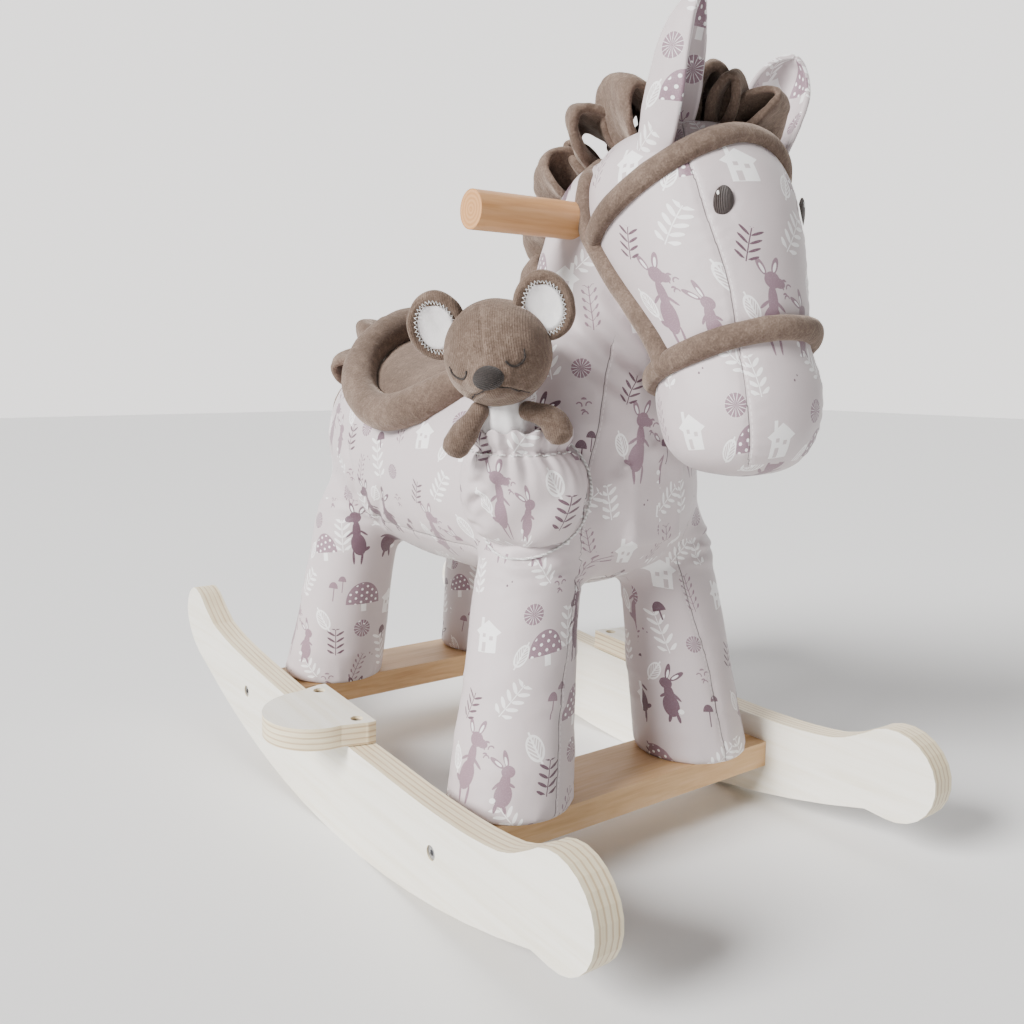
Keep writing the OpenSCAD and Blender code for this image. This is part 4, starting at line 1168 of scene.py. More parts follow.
def ears():
    """Each ear is one stuffed leaf of cloth, folded round its own length and open on one side."""
    for name, base, tip, open_, wmax, f0, f1 in (("ear_right", (-30.0, -165, 430), (-32.0, -192.5, 500.3), (0.489, -0.872, 0.0), 32.5, 104, 74), ("ear_left", (38, -161, 427), (76.5, -162.5, 496), (-0.60, -0.79, 0.10), 31.0, 98, 66)):
        base, tip = np.array(base, float), np.array(tip, float)
        ax = unit(tip - base)
        ln = np.linalg.norm(tip - base)
        O = np.array(open_, float)
        O = unit(O - ax * (O @ ax))
        Lt = np.cross(O, ax)
        m, n = 46, 37
        G = np.zeros((m, n, 3))
        for i in range(m):
            t = -0.13 + 1.13 * (i / (m - 1)) ** 0.9
            tp = max(0.0, t)
            w = wmax * (max(0.0, 1 - tp**3.4)) ** 0.62 * (0.86 + 0.14 * sstep(-0.1, 0.3, t)) + 0.5
            fi = math.radians(f0 + (f1 - f0) * tp**1.6)
            r = w / fi
            for j in range(n):
                u = -1 + 2 * j / (n - 1)
                a = u * fi
                rr = r * (1 + 0.10 * math.cos(2 * a))
                pt = base + ax * (t * ln) + Lt * (rr * math.sin(a)) - O * (rr * math.cos(a) - 0.25 * r)
                G[i, j] = pt + ax * (-3.0 * (1 - abs(u)) * tp * 0.0)
        F = grid_faces(m, n, 0, False).tolist()
        ob = make(name + "_cover", W(G.reshape(-1, 3)), F, fix=False)
        so = ob.modifiers.new("t", "SOLIDIFY")
        so.thickness = 0.0032
        so.offset = 0.0
        bake_modifiers(ob)
        bm = bmesh.new()
        bm.from_mesh(ob.data)
        bmesh.ops.recalc_face_normals(bm, faces=bm.faces)
        bm.to_mesh(ob.data)
        bm.free()
        subsurf(ob, 1)
        V = coords(ob)
        N = normals(ob)
        P = V * 1000 + SH
        set_coords(ob, V + N * (0.45 * fbm(P, 13, 2, 51))[:, None] * 0.001)

        def uv(P_, Nf, C_, base=base, ax=ax, Lt=Lt, O=O, wmax=wmax):
            r = C_ - base
            c = r - np.outer(r @ ax, ax)
            rad = np.linalg.norm(c, axis=1) + 1e-9
            inner = (Nf * c).sum(1) < 0
            q = P_ - base
            ang = np.arctan2(q @ Lt, -(q @ O))
            return np.stack([ang * 16.0 + np.where(inner, 118.0, 30.0), q @ ax + np.where(inner, 52.0, 128.0)], 1) * 0.001

        uv_faces(ob, uv)
        horse(ob, M_COTTON2, [name])


def loop_petal(base, out, width_dir, length, width, thick, gape, seed, curl=0.0, lift=(0, 0, 0), n=18, m=8):
    """A folded loop of cloth: it leaves its gathered base, bulges out and comes back."""
    base, out = np.asarray(base, float), unit(out)
    wd = np.asarray(width_dir, float)
    wd = unit(wd - out * (wd @ out))
    e = np.cross(out, wd)
    lift = np.asarray(lift, float)
    rng = np.random.RandomState(seed)
    p1, p2, p3 = rng.uniform(-1, 1, 3)
    G = np.zeros((n, m, 3))
    for i in range(n):
        u = i / (n - 1)
        a = 2 * math.pi * u
        d = (1 - math.cos(a)) / 2
        d = d**0.85
        side = math.sin(a) * (1 + 0.25 * math.cos(a))
        for j in range(m):
            s = -1 + 2 * j / (m - 1)
            wfac = 0.42 + 0.58 * sstep(0.0, 0.75, d)
            flare = 1 + 0.16 * s * p1
            g = gape * (1.0 + 0.55 * s * p2) * (0.5 + 0.5 * abs(s) ** 1.5 + 0.25)
            q = base + out * (length * d * flare) + wd * (0.5 * width * s * wfac) + e * (g * side + curl * d * d * (1 + 0.3 * s * p3))
            q = q + lift * d
            q = q + out * (-0.16 * length * (s * s) * d)
            G[i, j] = q
    return G


def cloth_loops(name, petals, thick, nodes, pull=0.9):
    parts = []
    for k, p in enumerate(petals):
        G = loop_petal(seed=100 + k, thick=thick, **p)
        parts.append((G.reshape(-1, 3), grid_faces(G.shape[0], G.shape[1], 0, False).tolist()))
    V, F = join_parts(parts)
    ob = make(name, W(V), F, fix=False)
    so = ob.modifiers.new("t", "SOLIDIFY")
    so.thickness = thick * 0.001
    so.offset = 0.0
    su = ob.modifiers.new("s", "SUBSURF")
    su.levels = su.render_levels = 2
    bake_modifiers(ob)
    V = coords(ob)
    N = normals(ob)
    P = V * 1000 + SH
    h = pull * fbm(P, 17, 2, 81) + 0.35 * fbm(P, 6, 2, 83)
    set_coords(ob, V + N * h[:, None] * 0.001)
    bm = bmesh.new()
    bm.from_mesh(ob.data)
    bmesh.ops.recalc_face_normals(bm, faces=bm.faces)
    bm.to_mesh(ob.data)
    bm.free()
    return horse(ob, M_PLUSH, nodes)


def mane_all():
    # crest of the head and neck, from behind the ears down to the saddle
    C = dense([[0, -150, 447], [0, -126, 446], [0, -100, 440], [0, -78, 428], [0, -62, 408], [0, -52, 384], [0, -42, 358], [0, -33, 332]], 8)
    T = np.gradient(C, axis=0)
    T /= np.linalg.norm(T, axis=1)[:, None]
    up = np.stack([0 * T[:, 0], -T[:, 2], T[:, 1]], 1)  # outwards from the crest
    up *= np.sign((up @ np.array([0, 0.6, 0.8])))[:, None]
    pet = []
    spots = [(0.05, 42, 40, -0.50, 9.0, 0.9), (0.10, 38, 38, 0.75, 8.0, -0.6), (0.17, 48, 46, -0.80, 10.5, 0.6), (0.24, 42, 38, -0.1, 9.0, 1.3), (0.30, 37, 38, 1.0, 8.5, -0.5), (0.33, 46, 44, -0.90, 10.5, 0.95), (0.43, 36, 36, 0.05, 8.0, 1.2), (0.47, 36, 36, 0.9, 8.0, -0.5),
             (0.50, 42, 42, -0.95, 10.0, 0.6), (0.61, 34, 32, 0.05, 8.0, 1.1), (0.64, 34, 34, 0.9, 8.0, -0.5), (0.67, 38, 38, -0.95, 9.0, 0.9), (0.77, 30, 32, 0.75, 7.0, -0.4), (0.82, 34, 36, -0.9, 8.5, 0.6), (0.89, 26, 30, 0.8, 6.5, -0.4), (0.93, 28, 32, -0.7, 7.0, 0.8), (0.985, 20, 26, 0.6, 5.5, -0.3)]
    for f, ln, wd, lean, gape, tilt in spots:
        i = min(len(C) - 1, int(f * (len(C) - 1)))
        o = unit(up[i] + np.array([lean, 0, 0]))
        tw = unit(T[i] + np.array([tilt, 0, 0.2 * tilt]))
        pet.append(dict(base=C[i] - up[i] * 4, out=o, width_dir=tw, length=ln, width=wd, gape=gape, curl=4 * np.sign(lean), lift=(0, 0, -4.0)))
    cloth_loops("mane_loops", pet, 5.6, ["mane"])
    fl = [dict(base=(4, -157, 443), out=(0.10, -0.1, 1.0), width_dir=(0.5, 0.8, 0), length=38, width=34, gape=7, lift=(0, 0, 0)),
          dict(base=(12, -172, 440), out=(0.62, -0.45, 0.66), width_dir=(0.75, 0.55, -0.3), length=36, width=44, gape=7, curl=-3, lift=(0, 0, -5)),
          dict(base=(5, -168, 442), out=(0.25, -0.30, 1.0), width_dir=(0.8, 0.5, 0.1), length=32, width=34, gape=6.5, lift=(0, 0, 0)),
          dict(base=(14, -158, 441), out=(0.75, 0.0, 0.75), width_dir=(0, 1, 0.2), length=30, width=40, gape=7, lift=(0, 0, -3))]
    cloth_loops("forelock_loops", fl, 5.6, ["forelock"], 0.8)
    tl = [dict(base=(-6, 148, 324), out=(-0.30, -0.05, 1.0), width_dir=(0.5, 1, 0.1), length=36, width=38, gape=8.5, lift=(0, 0, 0)),
          dict(base=(-2, 160, 323), out=(0.6, 0.15, 0.9), width_dir=(0.1, 1, -0.2), length=37, width=38, gape=8, lift=(0, 0, 0)),
          dict(base=(-9, 166, 320), out=(-0.78, 0.15, 0.75), width_dir=(0.3, 0.9, 0.2), length=44, width=42, gape=9.5, lift=(0, 0, -2)),
          dict(base=(-4, 178, 314), out=(0.0, 0.4, 0.95), width_dir=(0.9, 0.5, 0.0), length=34, width=36, gape=8, lift=(0, 0, -2)),
          dict(base=(-2, 184, 312), out=(0.60, 0.5, 0.7), width_dir=(0.2, -0.6, 0.7), length=38, width=38, gape=8, lift=(0, 0, -4)),
          dict(base=(-9, 187, 308), out=(-0.80, 0.45, 0.45), width_dir=(0.4, 0.7, 0.5), length=44, width=44, gape=9.5, lift=(0, 0, -4)),
          dict(base=(-5, 201, 296), out=(0.45, 0.8, 0.2), width_dir=(0.1, -0.4, 0.9), length=34, width=38, gape=7.5, lift=(0, 0, -8)),
          dict(base=(-7, 206, 286), out=(-0.65, 0.7, 0.05), width_dir=(-0.1, -0.2, 0.9), length=40, width=42, gape=8, lift=(0, 0, -10)),
          dict(base=(-4, 210, 276), out=(0.35, 0.8, -0.2), width_dir=(0.1, 0.1, 0.9), length=32, width=36, gape=7, lift=(0, 0, -10)),
          dict(base=(-7, 211, 266), out=(-0.3, 0.75, -0.4), width_dir=(0.1, 0.2, 0.9), length=32, width=36, gape=7, lift=(0, 0, -12)),
          dict(base=(-2, 211, 258), out=(0.15, 0.65, -0.6), width_dir=(0.8, 0.2, 0.4), length=31, width=34, gape=7, lift=(0, 0, -14))]
    cloth_loops("tail_loops", tl, 5.6, ["tail"])


def saddle_pt(f, k, g):
    f = np.asarray(f, float)
    return torso_pt(42 + 80 * k * np.cos(f), np.degrees(np.radians(66.0 * k * np.sin(f))), g)


def saddle():
    f = 2 * math.pi * np.arange(150) / 150
    path = saddle_pt(f, 1.0, 9 + 6 * np.cos(f))
    r = 12.6 + 0.9 * np.cos(f) + 0.5 * np.sin(3 * f + 1)
    V, F = tube_path(path, r, 44, closed=True, up=(0, 0, 1))
    ob = make("saddle_rim", W(V), F)
    N = normals(ob)
    P = coords(ob) * 1000 + SH
    along = np.arctan2(P[:, 0], (P[:, 1] - 42))
    h = 0.7 * fbm(P, 34, 2, 91) + 0.4 * np.sin(along * 30 + 2.2 * noise3(P, 20, 93)) * sstep(0.2, 0.8, 0.5 + 0.5 * noise3(P, 30, 94)) * 0.9
    set_coords(ob, coords(ob) + N * h[:, None] * 0.001)
    horse(ob, M_PLUSH, ["saddle_roll"])
    # seat: a thin pad on the back, crowned, blown up by a cloth solve
    K = np.array([0.0, 0.12, 0.24, 0.36, 0.48, 0.6, 0.72, 0.84, 0.93, 0.985])
    n = 72
    ff = 2 * math.pi * np.arange(n) / n
    top = [saddle_pt(ff, k, 4.6) for k in K[1:]]
    bot = [saddle_pt(ff, k, 0.3) for k in K[1:]]
    c1, c0 = saddle_pt(0.0, 0.0, 4.6), saddle_pt(0.0, 0.0, 0.3)
    G = np.array(top + bot[::-1])
    m = len(G)
    V = np.concatenate([G.reshape(-1, 3), [c1], [c0]])
    F = grid_faces(m, n).tolist()
    for i in range(n):
        F.append([(i + 1) % n, i, m * n])
        F.append([(m - 1) * n + i, (m - 1) * n + (i + 1) % n, m * n + 1])
    pad = make("saddle_seat", W(V), F)
    pad = puff(pad, 4.0, 3.0, 12, 3.5)
    V = coords(pad)
    N = normals(pad)
    P = V * 1000 + SH
    set_coords(pad, V + N * (0.5 * fbm(P, 30, 2, 97))[:, None] * 0.001)
    horse(pad, M_PLUSH, ["saddle_pad"])


def puff(ob, vox, pressure, steps, cap, sub=1):
    """Blown up by Blender's cloth solver, with how far a point may move capped in mm."""
    m = ob.modifiers.new("r", "REMESH")
    m.mode = "VOXEL"
    m.voxel_size = vox * 0.001
    bake_modifiers(ob)
    rest = coords(ob)
    c = ob.modifiers.new("c", "CLOTH")
    c.settings.quality = 5
    c.settings.mass = 0.3
    c.settings.use_pressure = True
    c.settings.uniform_pressure_force = pressure
    c.settings.tension_stiffness = 15
    c.settings.compression_stiffness = 15
    c.settings.bending_stiffness = 0.6
    c.settings.effector_weights.gravity = 0.0
    c.collision_settings.use_collision = False
    c.point_cache.frame_start = 1
    c.point_cache.frame_end = steps
    for fno in range(1, steps + 1):
        scene.frame_set(fno)
    bake_modifiers(ob)
    scene.frame_set(1)
    now = coords(ob)
    mv = now - rest
    ln = np.linalg.norm(mv, axis=1) * 1000
    mv *= np.where(ln > cap, cap / np.maximum(ln, 1e-9), 1.0)[:, None]
    V = relax(rest + mv, edges(ob), 1, 3, 0.5)
    set_coords(ob, V)
    return subsurf(ob, sub) if sub else ob


def strap(name, path, normal, w, hgt, nodes, closed=False, seed=1, extra=()):
    V, F = tube_path(path, w, 26, closed=closed, N=normal, flat=hgt / w)
    parts = [(V, F)]
    for p, nn in extra:
        parts.append(tube_path(p, w, 26, closed=False, N=nn, flat=hgt / w))
    V, F = join_parts(parts)
    ob = make(name, W(V), F)
    N = normals(ob)
    P = coords(ob) * 1000 + SH
    h = 0.32 * fbm(P, 16, 2, 120 + seed) + 0.12 * fbm(P, 5, 1, 130 + seed)
    set_coords(ob, coords(ob) + N * h[:, None] * 0.001)
    return horse(ob, M_PLUSH, nodes)


def head_normal(P):
    cy = np.interp(P[:, 2], HD[:, 2], HD[:, 1])
    k = np.interp(P[:, 2], HD[:, 2], np.gradient(HD[:, 4], HD[:, 2] + 1e-6 * np.arange(len(HD))))
    R = np.stack([P[:, 0], P[:, 1] - cy, 0 * cy], 1)
    R /= np.linalg.norm(R, axis=1)[:, None] + 1e-9
    R[:, 2] = -np.clip(k, -1.6, 1.6)
    return R / np.linalg.norm(R, axis=1)[:, None]


def bridle():
    q = np.linspace(0, 360, 121)[:-1]
    P = head_pt(319 - 16 * np.sin(np.radians(q)), q, 1.4)
    strap("bridle_nose_band", P, head_normal(P), 6.6, 5.0, ["noseband"], closed=True, seed=1)
    f = np.linspace(0.075, 1, 60)
    a = head_pt(306 + 112 * f, 170 - 28 * f, 1.6)
    f2 = np.linspace(0.04, 1, 22)
    b = head_pt(418 + 12 * f2, 142 - 24 * f2, 1.6)
    R = np.concatenate([a, b])[::-1]
    Lm = mirror(R)
    strap("bridle_cheek_straps", R, head_normal(R), 6.4, 4.9, ["cheek_strap"], seed=2, extra=[(Lm, head_normal(Lm))])
    f = np.linspace(-0.17, 1, 60)
    H = head_pt(396 + 40 * np.sin(np.radians(90 * f)), 172 + 98 * f, 1.6)
    H2 = mirror(H)[::-1][1:]
    B = np.concatenate([H, H2])
    strap("bridle_brow_band", B, head_normal(B), 6.6, 5.0, ["browband"], seed=3)


def eye_glints():
    # painted highlight: a small white dome on each eye, above its middle and shifted the same way on both eyes towards
    # the key light, standing in for the light's reflection
    parts = []
    for sg in (-1, 1):
        c = head_pt(401.0, 270 + sg * 33 - 2.2, 1.9)
        nrm = head_normal(np.array([c]))[0]
        up = unit(np.array([0, 0, 1.0]) - nrm * nrm[2])
        sd = np.cross(up, nrm)
        rr, aa = 7, 20
        V = []
        for i in range(rr):
            ph = math.pi * (i + 0.5) / rr
            for j in range(aa):
                th = 2 * math.pi * j / aa
                V.append(c + sd * (1.3 * math.sin(ph) * math.cos(th)) + up * (1.9 * math.sin(ph) * math.sin(th)) + nrm * (0.7 * math.cos(ph)))
        V = np.array(V).reshape(rr, aa, 3)
        parts.append(closed_grid(V))
    V, F = join_parts(parts)
    horse(make("eye_glints", W(V), F), M_GLINT)


# ---- side pocket ----
PN, PS, PC = np.array([-0.819, -0.574, 0]), np.array([0.574, -0.819, 0]), np.array([-75, -100, 0.0])
POCKET = np.array([[208, 6, 1], [211, 17, 6], [216, 27, 12], [228, 35, 19], [243, 38.5, 25], [256, 37, 30.5], [264, 32, 33], [268, 28.5, 33.5], [274, 30, 36.5], [279, 30.5, 38]])


def pocket():
    D = dense(POCKET, 10)
    m, n = len(D), 181
    w = np.linspace(-math.pi * 0.5, math.pi * 1.5, n)[:-1]
    n -= 1
    G = np.zeros((m, n, 3))
    for i, (z, hw, so) in enumerate(D):
        top = sstep(236, 268, z)
        back = 3.0 + 20.0 * sstep(258, 276, z) * 0  # the back stays on the body
        r_out = so + 0 * w
        c, s = np.cos(w), np.sin(w)
        dep = np.where(s > 0, so * s, (5.0 + 1.0 * top) * s)
        g = 1.5 * top * np.sin(w * 15 + 1.3 * np.sin(w * 3 + 0.08 * z)) + 0.9 * top * np.sin(w * 27 + 2)
        g += 0.9 * (1 - top) * np.sin(w * 6 + z * 0.18)
        g *= (s > -0.15)
        pinch = -1.8 * math.exp(-(((z - 268) / 2.6) ** 2))
        for j in range(n):
            G[i, j] = PC + np.array([0, 0, z]) + PS * ((hw + g[j] * 0.6 + pinch) * c[j]) + PN * (dep[j] + (g[j] + pinch) * max(0.0, s[j]))
        G[i, :, 2] += 1.4 * top * np.sin(w * 15 + 0.8) * sstep(268, 279, z)
    V, F = closed_grid(G)
    # open mouth: the top cap sinks to a lining inside
    V = np.asarray(V)
    inner = []
    for k, (dz, sc) in enumerate(((0.6, 0.93), (-3.0, 0.86), (-9.0, 0.82), (-16.0, 0.78))):
        c0 = G[-1].mean(0)
        inner.append(c0 + (G[-1] - c0) * sc + np.array([0, 0, dz]))
    G2 = np.concatenate([G, np.array(inner)])
    V, F = closed_grid(G2)
    ob = make("side_pocket", W(V), F)
    V = relax(coords(ob), edges(ob), 1, 1, 0.4)
    set_coords(ob, V)
    N = normals(ob)
    P = V * 1000 + SH
    h = 0.7 * fbm(P, 22, 2, 141) * sstep(268, 250, P[:, 2]) + folds(P, N, [([[-103, -94, 226], [-110, -112, 232], [-106, -130, 226]], 2.6, 2.8, 1.9), ([[-98, -82, 232], [-104, -96, 240], [-108, -112, 238]], 2.2, 2.4, 1.6), ([[-90, -128, 222], [-82, -140, 236], [-76, -146, 248]], 1.8, 2.6, 1.3), ([[-104, -90, 246], [-109, -106, 250], [-108, -120, 246]], 1.8, 2.6, 1.4), ([[-96, -76, 222], [-100, -90, 220], [-102, -104, 218]], 1.8, 2.4, 1.2)])
    set_coords(ob, V + N * h[:, None] * 0.001)

    def uv(P_, Nf, C_):
        r = P_ - PC
        t = np.arctan2(r @ PN, r @ PS)
        return np.stack([-t * 33.0 + 84, P_[:, 2] - 150], 1) * 0.001

    uv_faces(ob, uv)
    horse(ob, M_COTTON2, ["pocket"])
    # row of elastic stitches, and the corded ring that the pocket's edge is sewn under
    row = []
    i = int(np.argmin(np.abs(D[:, 0] - 266.6)))
    ringp = G[i]
    k0 = [j for j in range(n) if np.sin(w[j]) > -0.05]
    pth = ringp[k0]
    ln = len(pth)
    parts = []
    tree = bvh_of(ob)[0]
    on = []
    for q in pth:
        loc, nr, _, _ = tree.find_nearest(Vector(W(q + PN * 2)))
        on.append(np.array(loc) * 1000 + SH + np.array(nr) * 0.35)
    on = np.array(on)
    for a in range(0, ln - 3, 5):
        parts.append(tube_path(on[a : a + 4], 0.48, 8, up=(0, 0, 1)))
    V, F = join_parts(parts)
    horse(make("pocket_elastic_stitches", W(V), F), M_PALETHREAD)


def pocket_ring(cover):
    """A thin cord that follows the body in a circle around the pocket."""
    bvh = bvh_of(cover)[0]
    cen = np.array([-66, -91, 242.0])
    nn = unit(np.array([-0.80, -0.60, 0.0]))
    ss = np.cross(np.array([0, 0, 1.0]), nn)
    pts = []
    for a in np.linspace(0, 2 * math.pi, 97)[:-1]:
        o = cen + nn * 90 + ss * (40.5 * math.cos(a)) + np.array([0, 0, 39.5 * math.sin(a)])
        hit = bvh.ray_cast(Vector(W(o)), Vector(-nn))
        if hit[0] is not None:
            pts.append(np.array(hit[0]) * 1000 + SH + np.array(hit[1]) * 0.35)
    pts = np.array(pts)
    V, F = tube_path(pts, 0.75, 10, closed=True, up=nn)
    ob = make("pocket_piping", W(V), F)
    horse(ob, M_PALETHREAD)


# ---- mouse ----
def mouse_frame():
    fy = -unit([-0.665, -0.67, -0.333])
    ez = unit(np.cross([0.788, -0.571, 0.237], fy))
    ex = np.cross(fy, ez)
    return np.array([-104, -116, 322.0]), np.stack([ex, fy, ez], 1)


MC, MR = mouse_frame()
MAX = unit([-0.28, -0.196, 0.94])


def in_head(L):
    return MC + np.asarray(L, float) @ MR.T


def sphere_grid(c, r, m=28, n=40):
    G = np.zeros((m, n, 3))
    for i in range(m):
        ph = math.pi * (i + 0.5) / m
        for j in range(n):
            th = 2 * math.pi * j / n
            G[i, j] = np.asarray(c) + np.array(r) * np.array([math.sin(ph) * math.cos(th), math.sin(ph) * math.sin(th), math.cos(ph)])
    return closed_grid(G)


def mouse_all():
    a = sphere_grid((0, 0, 0), (30, 29.6, 29.4))
    b = sphere_grid((0, -14.5, -3.5), (18.8, 18.6, 17.2))
    parts = [(in_head(a[0]), a[1]), (in_head(b[0]), b[1])]
    ob = voxel("mouse_head_cover", parts, 1.3, 3)
    V = coords(ob)
    V = relax(V, edges(ob), 1, 5, 0.5)
    set_coords(ob, V)
    N = normals(ob)
    P = V * 1000 + SH
    Lc = (P - MC) @ MR
    crown = in_head([[-3.0, 6, 29.6], [-2.7, -5.9, 29.3], [-1.0, -17.6, 24.3], [-0.6, -24.9, 16.7], [-0.9, -30.7, 6.8], [-1.5, -33.0, 2.1]])
    jaw_l = in_head([[-3.0, -32.4, -8.5], [-11.7, -24.2, -13.9], [-16.5, -17.5, -18.0], [-20, -9, -20.5]])
    jaw_r = in_head([[3.0, -32.4, -8.0], [9.3, -27.6, -12.8], [11.9, -22.0, -16.6], [15.4, -14.7, -21.1], [18.5, -8, -22]])
    h = 0.35 * fbm(P, 16, 2, 151)
    h += folds(P, N, [(crown, 0.75, 1.2, 0.25), (jaw_l, 0.9, 1.2, 0.3), (jaw_r, 0.9, 1.2, 0.3)])
    for L in ([[-22.1, -20.3, 0.1], [-20.3, -21.8, -3.1], [-17.0, -24.5, -3.2], [-12.5, -28.1, 0.7]], [[10.6, -28.7, 3.5], [12.6, -27.9, 1.2], [15.6, -25.6, -0.7], [18.9, -23.3, 1.2]]):
        h += folds(P, N, [(in_head(L), 0.7, 1.5, 0.3)])
    set_coords(ob, V + N * h[:, None] * 0.001)
    mouse(ob, M_MOUSE, ["mouse_head"])
    bvh = bvh_of(ob)[0]

    def lay(L, r, name_mat):
        pts = []
        for q in dense(L, 8):
            loc, nr, _, _ = bvh.find_nearest(Vector(W(in_head(q))))
            pts.append(np.array(loc) * 1000 + SH + np.array(nr) * (r * 0.35))
        return tube_path(np.array(pts), r, 8)

    eyes_ = [[[-22.4, -20.0, 1.4], [-21.8, -20.8, -1.2], [-19.6, -22.6, -3.3], [-16.4, -25.2, -3.2], [-13.4, -27.4, -0.6], [-12.6, -28.0, 1.4]], [[10.2, -29.0, 3.6], [11.4, -28.4, 1.0], [14.0, -26.8, -0.6], [16.8, -24.9, -0.4], [18.8, -23.4, 1.6], [19.4, -22.9, 3.8]]]
    lash = [[[-22.4, -20.0, 1.4], [-23.4, -19.4, 2.6]], [[19.4, -22.9, 3.8], [19.6, -22.4, 6.2]]]
    pr = [lay(e, 0.60, 0) for e in eyes_] + [lay(e, 0.45, 0) for e in lash]
    pr += [lay([[-3.4, -32.0, -8.8], [-11.7, -24.2, -13.9], [-16.5, -17.5, -18.0]], 0.36, 0), lay([[3.4, -32.2, -8.4], [9.3, -27.6, -12.8], [11.9, -22.0, -16.6], [15.4, -14.7, -21.1]], 0.36, 0)]
    V, F = join_parts(pr)
    mouse(make("mouse_face_threads", W(V), F), M_DARKTHREAD)
    # nose
    a = sphere_grid((0, 0, 0), (8.4, 5.4, 6.5), 24, 36)
    V = np.asarray(a[0])
    V[:, 2] += 0.8 * np.cos(V[:, 0] / 8.4 * 1.5) - 0.4
    V[:, 0] *= 1 + 0.06 * V[:, 2] / 6.5
    ob = make("mouse_nose_cover", W(in_head(V + np.array([-0.6, -31.6, -3.2]))), a[1])
    mouse(ob, M_NOSE, ["mouse_nose"])
    # ears: a stuffed rim round a sewn-in lining
    ears_p, lin_p, st_p = [], [], []
    for s in (-1, 1):
        m, n = 30, 72
        prof = []
        for t in np.linspace(0, 1, 15):  # from the middle of the front out over the rim
            prof.append((t * 16.2, -1.9 - 1.7 * sstep(0.55, 1.0, t) + 1.1 * (1 - t * t)))
        for a_ in np.linspace(-80, 80, 9):
            prof.append((16.2 + 2.9 * math.cos(math.radians(a_)), 0.2 + 3.7 * math.sin(math.radians(a_))))
        for t in np.linspace(1, 0, 8):
            prof.append((t * 16.2, 3.6 + 0.8 * (1 - t * t)))
        prof = np.array(prof)
        G = np.zeros((len(prof), n, 3))
        for i, (r, y) in enumerate(prof):
            th = 2 * math.pi * np.arange(n) / n
            x = r * 0.88 * np.cos(th)
            z = r * 1.02 * np.sin(th)
            cup = -0.010 * (x * s) ** 2 * 0.6
            G[i, :, 0] = s * 30 + x
            G[i, :, 1] = 3 + y + cup + 1.6 * s * 0
            G[i, :, 2] = 20 + z
        r0 = G[0].copy()
        G[0] = G[0].mean(0) + (G[0] - G[0].mean(0)) * 0.5
        V, F = closed_grid(G)
        ears_p.append((in_head(V), F))
        G = np.zeros((7, n, 3))
        for i, t in enumerate(np.linspace(0.08, 1, 6)):
            th = 2 * math.pi * np.arange(n) / n
            x, z = 12.0 * 0.84 * t * np.cos(th), 12.4 * 1.06 * t * np.sin(th)
            G[i, :, 0] = s * 30.4 + x
            G[i, :, 1] = 3 - 2.6 + 1.0 * (1 - t * t) - 0.010 * (x * s) ** 2 * 0.6 + 0.35 * np.sin(x * 0.5 + z * 0.22) * (1 - t**4)
            G[i, :, 2] = 20 + z
        G[6] = G[5] + np.array([0, 1.6, 0])
        V, F = closed_grid(G)
        lin_p.append((in_head(V), F))
        edge = G[5]
        cen = edge.mean(0)
        zz = []
        for j in range(0, n):
            k = 1.0 if j % 2 else 1.16
            zz.append(cen + (edge[j] - cen) * k + np.array([0, -0.7 if j % 2 else -0.85, 0]))
        st_p.append((lambda v: (in_head(v[0]), v[1]))(tube_path(np.array(zz), 0.36, 6, closed=True, up=(0, 1, 0))))
    V, F = join_parts(ears_p)
    ob = make("mouse_ear_rims", W(V), F)
    N = normals(ob)
    P = coords(ob) * 1000 + SH
    set_coords(ob, coords(ob) + N * (0.45 * fbm(P, 12, 2, 161))[:, None] * 0.001)
    mouse(ob, M_MOUSE, ["mouse_ears"])
    V, F = join_parts(lin_p)
    mouse(make("mouse_ear_satin", W(V), F), M_SATIN, ["mouse_ear_linings"])
    V, F = join_parts(st_p)
    mouse(make("mouse_ear_stitches", W(V), F), M_PALETHREAD)
    # body: gathered shirt, narrowing at the neck
    on = lambda d: MC + d * MAX
    e1 = unit(np.cross(MAX, [0, 0, 1.0]))
    e2 = np.cross(MAX, e1)
    T = np.array([[-91, 5.0], [-88, 9.5], [-82, 12.8], [-70, 14.2], [-56, 15.2], [-46, 16.2], [-38, 16.4], [-31, 15.6], [-24, 13.0], [-20, 10.0]])
    D = dense(T, 8)
    n = 120
    G = np.zeros((len(D), n, 3))
    th = 2 * math.pi * np.arange(n) / n
    for i, (d, r) in enumerate(D):
        g = 0.45 * np.sin(th * 11 + 0.06 * d) * sstep(-60, -30, d) + 0.3 * np.sin(th * 5 + d * 0.1)
        G[i] = on(d) + ((r - 0.5 + g)[:, None]) * (np.cos(th)[:, None] * e1 + np.sin(th)[:, None] * e2)
    V, F = closed_grid(G)
    mouse(make("mouse_shirt", W(V), F), M_SATIN, ["mouse_body"])
    parts = []
    for a, b, bend in (([-8, 6, -31], [-18, 14.5, -51], (-3, -4, 0)), ([11, -12, -31], [26, -21.5, -43], (3, -5, 3))):
        a, b = MC + np.array(a, float), MC + np.array(b, float)
        t = np.linspace(0, 1, 26)[:, None]
        P = a + (b - a) * t + np.array(bend, float) * np.sin(math.pi * t) * 0.6
        r = 5.6 + 2.3 * sstep(0.1, 0.8, t[:, 0])
        parts.append(tube_path(P, r, 30, up=(0.3, 0.9, 0.1)))
    V, F = join_parts(parts)
    ob = make("mouse_arm_covers", W(V), F)
    N = normals(ob)
    P = coords(ob) * 1000 + SH
    set_coords(ob, coords(ob) + N * (0.4 * fbm(P, 10, 2, 171))[:, None] * 0.001)
    mouse(ob, M_MOUSE, ["mouse_arms"])


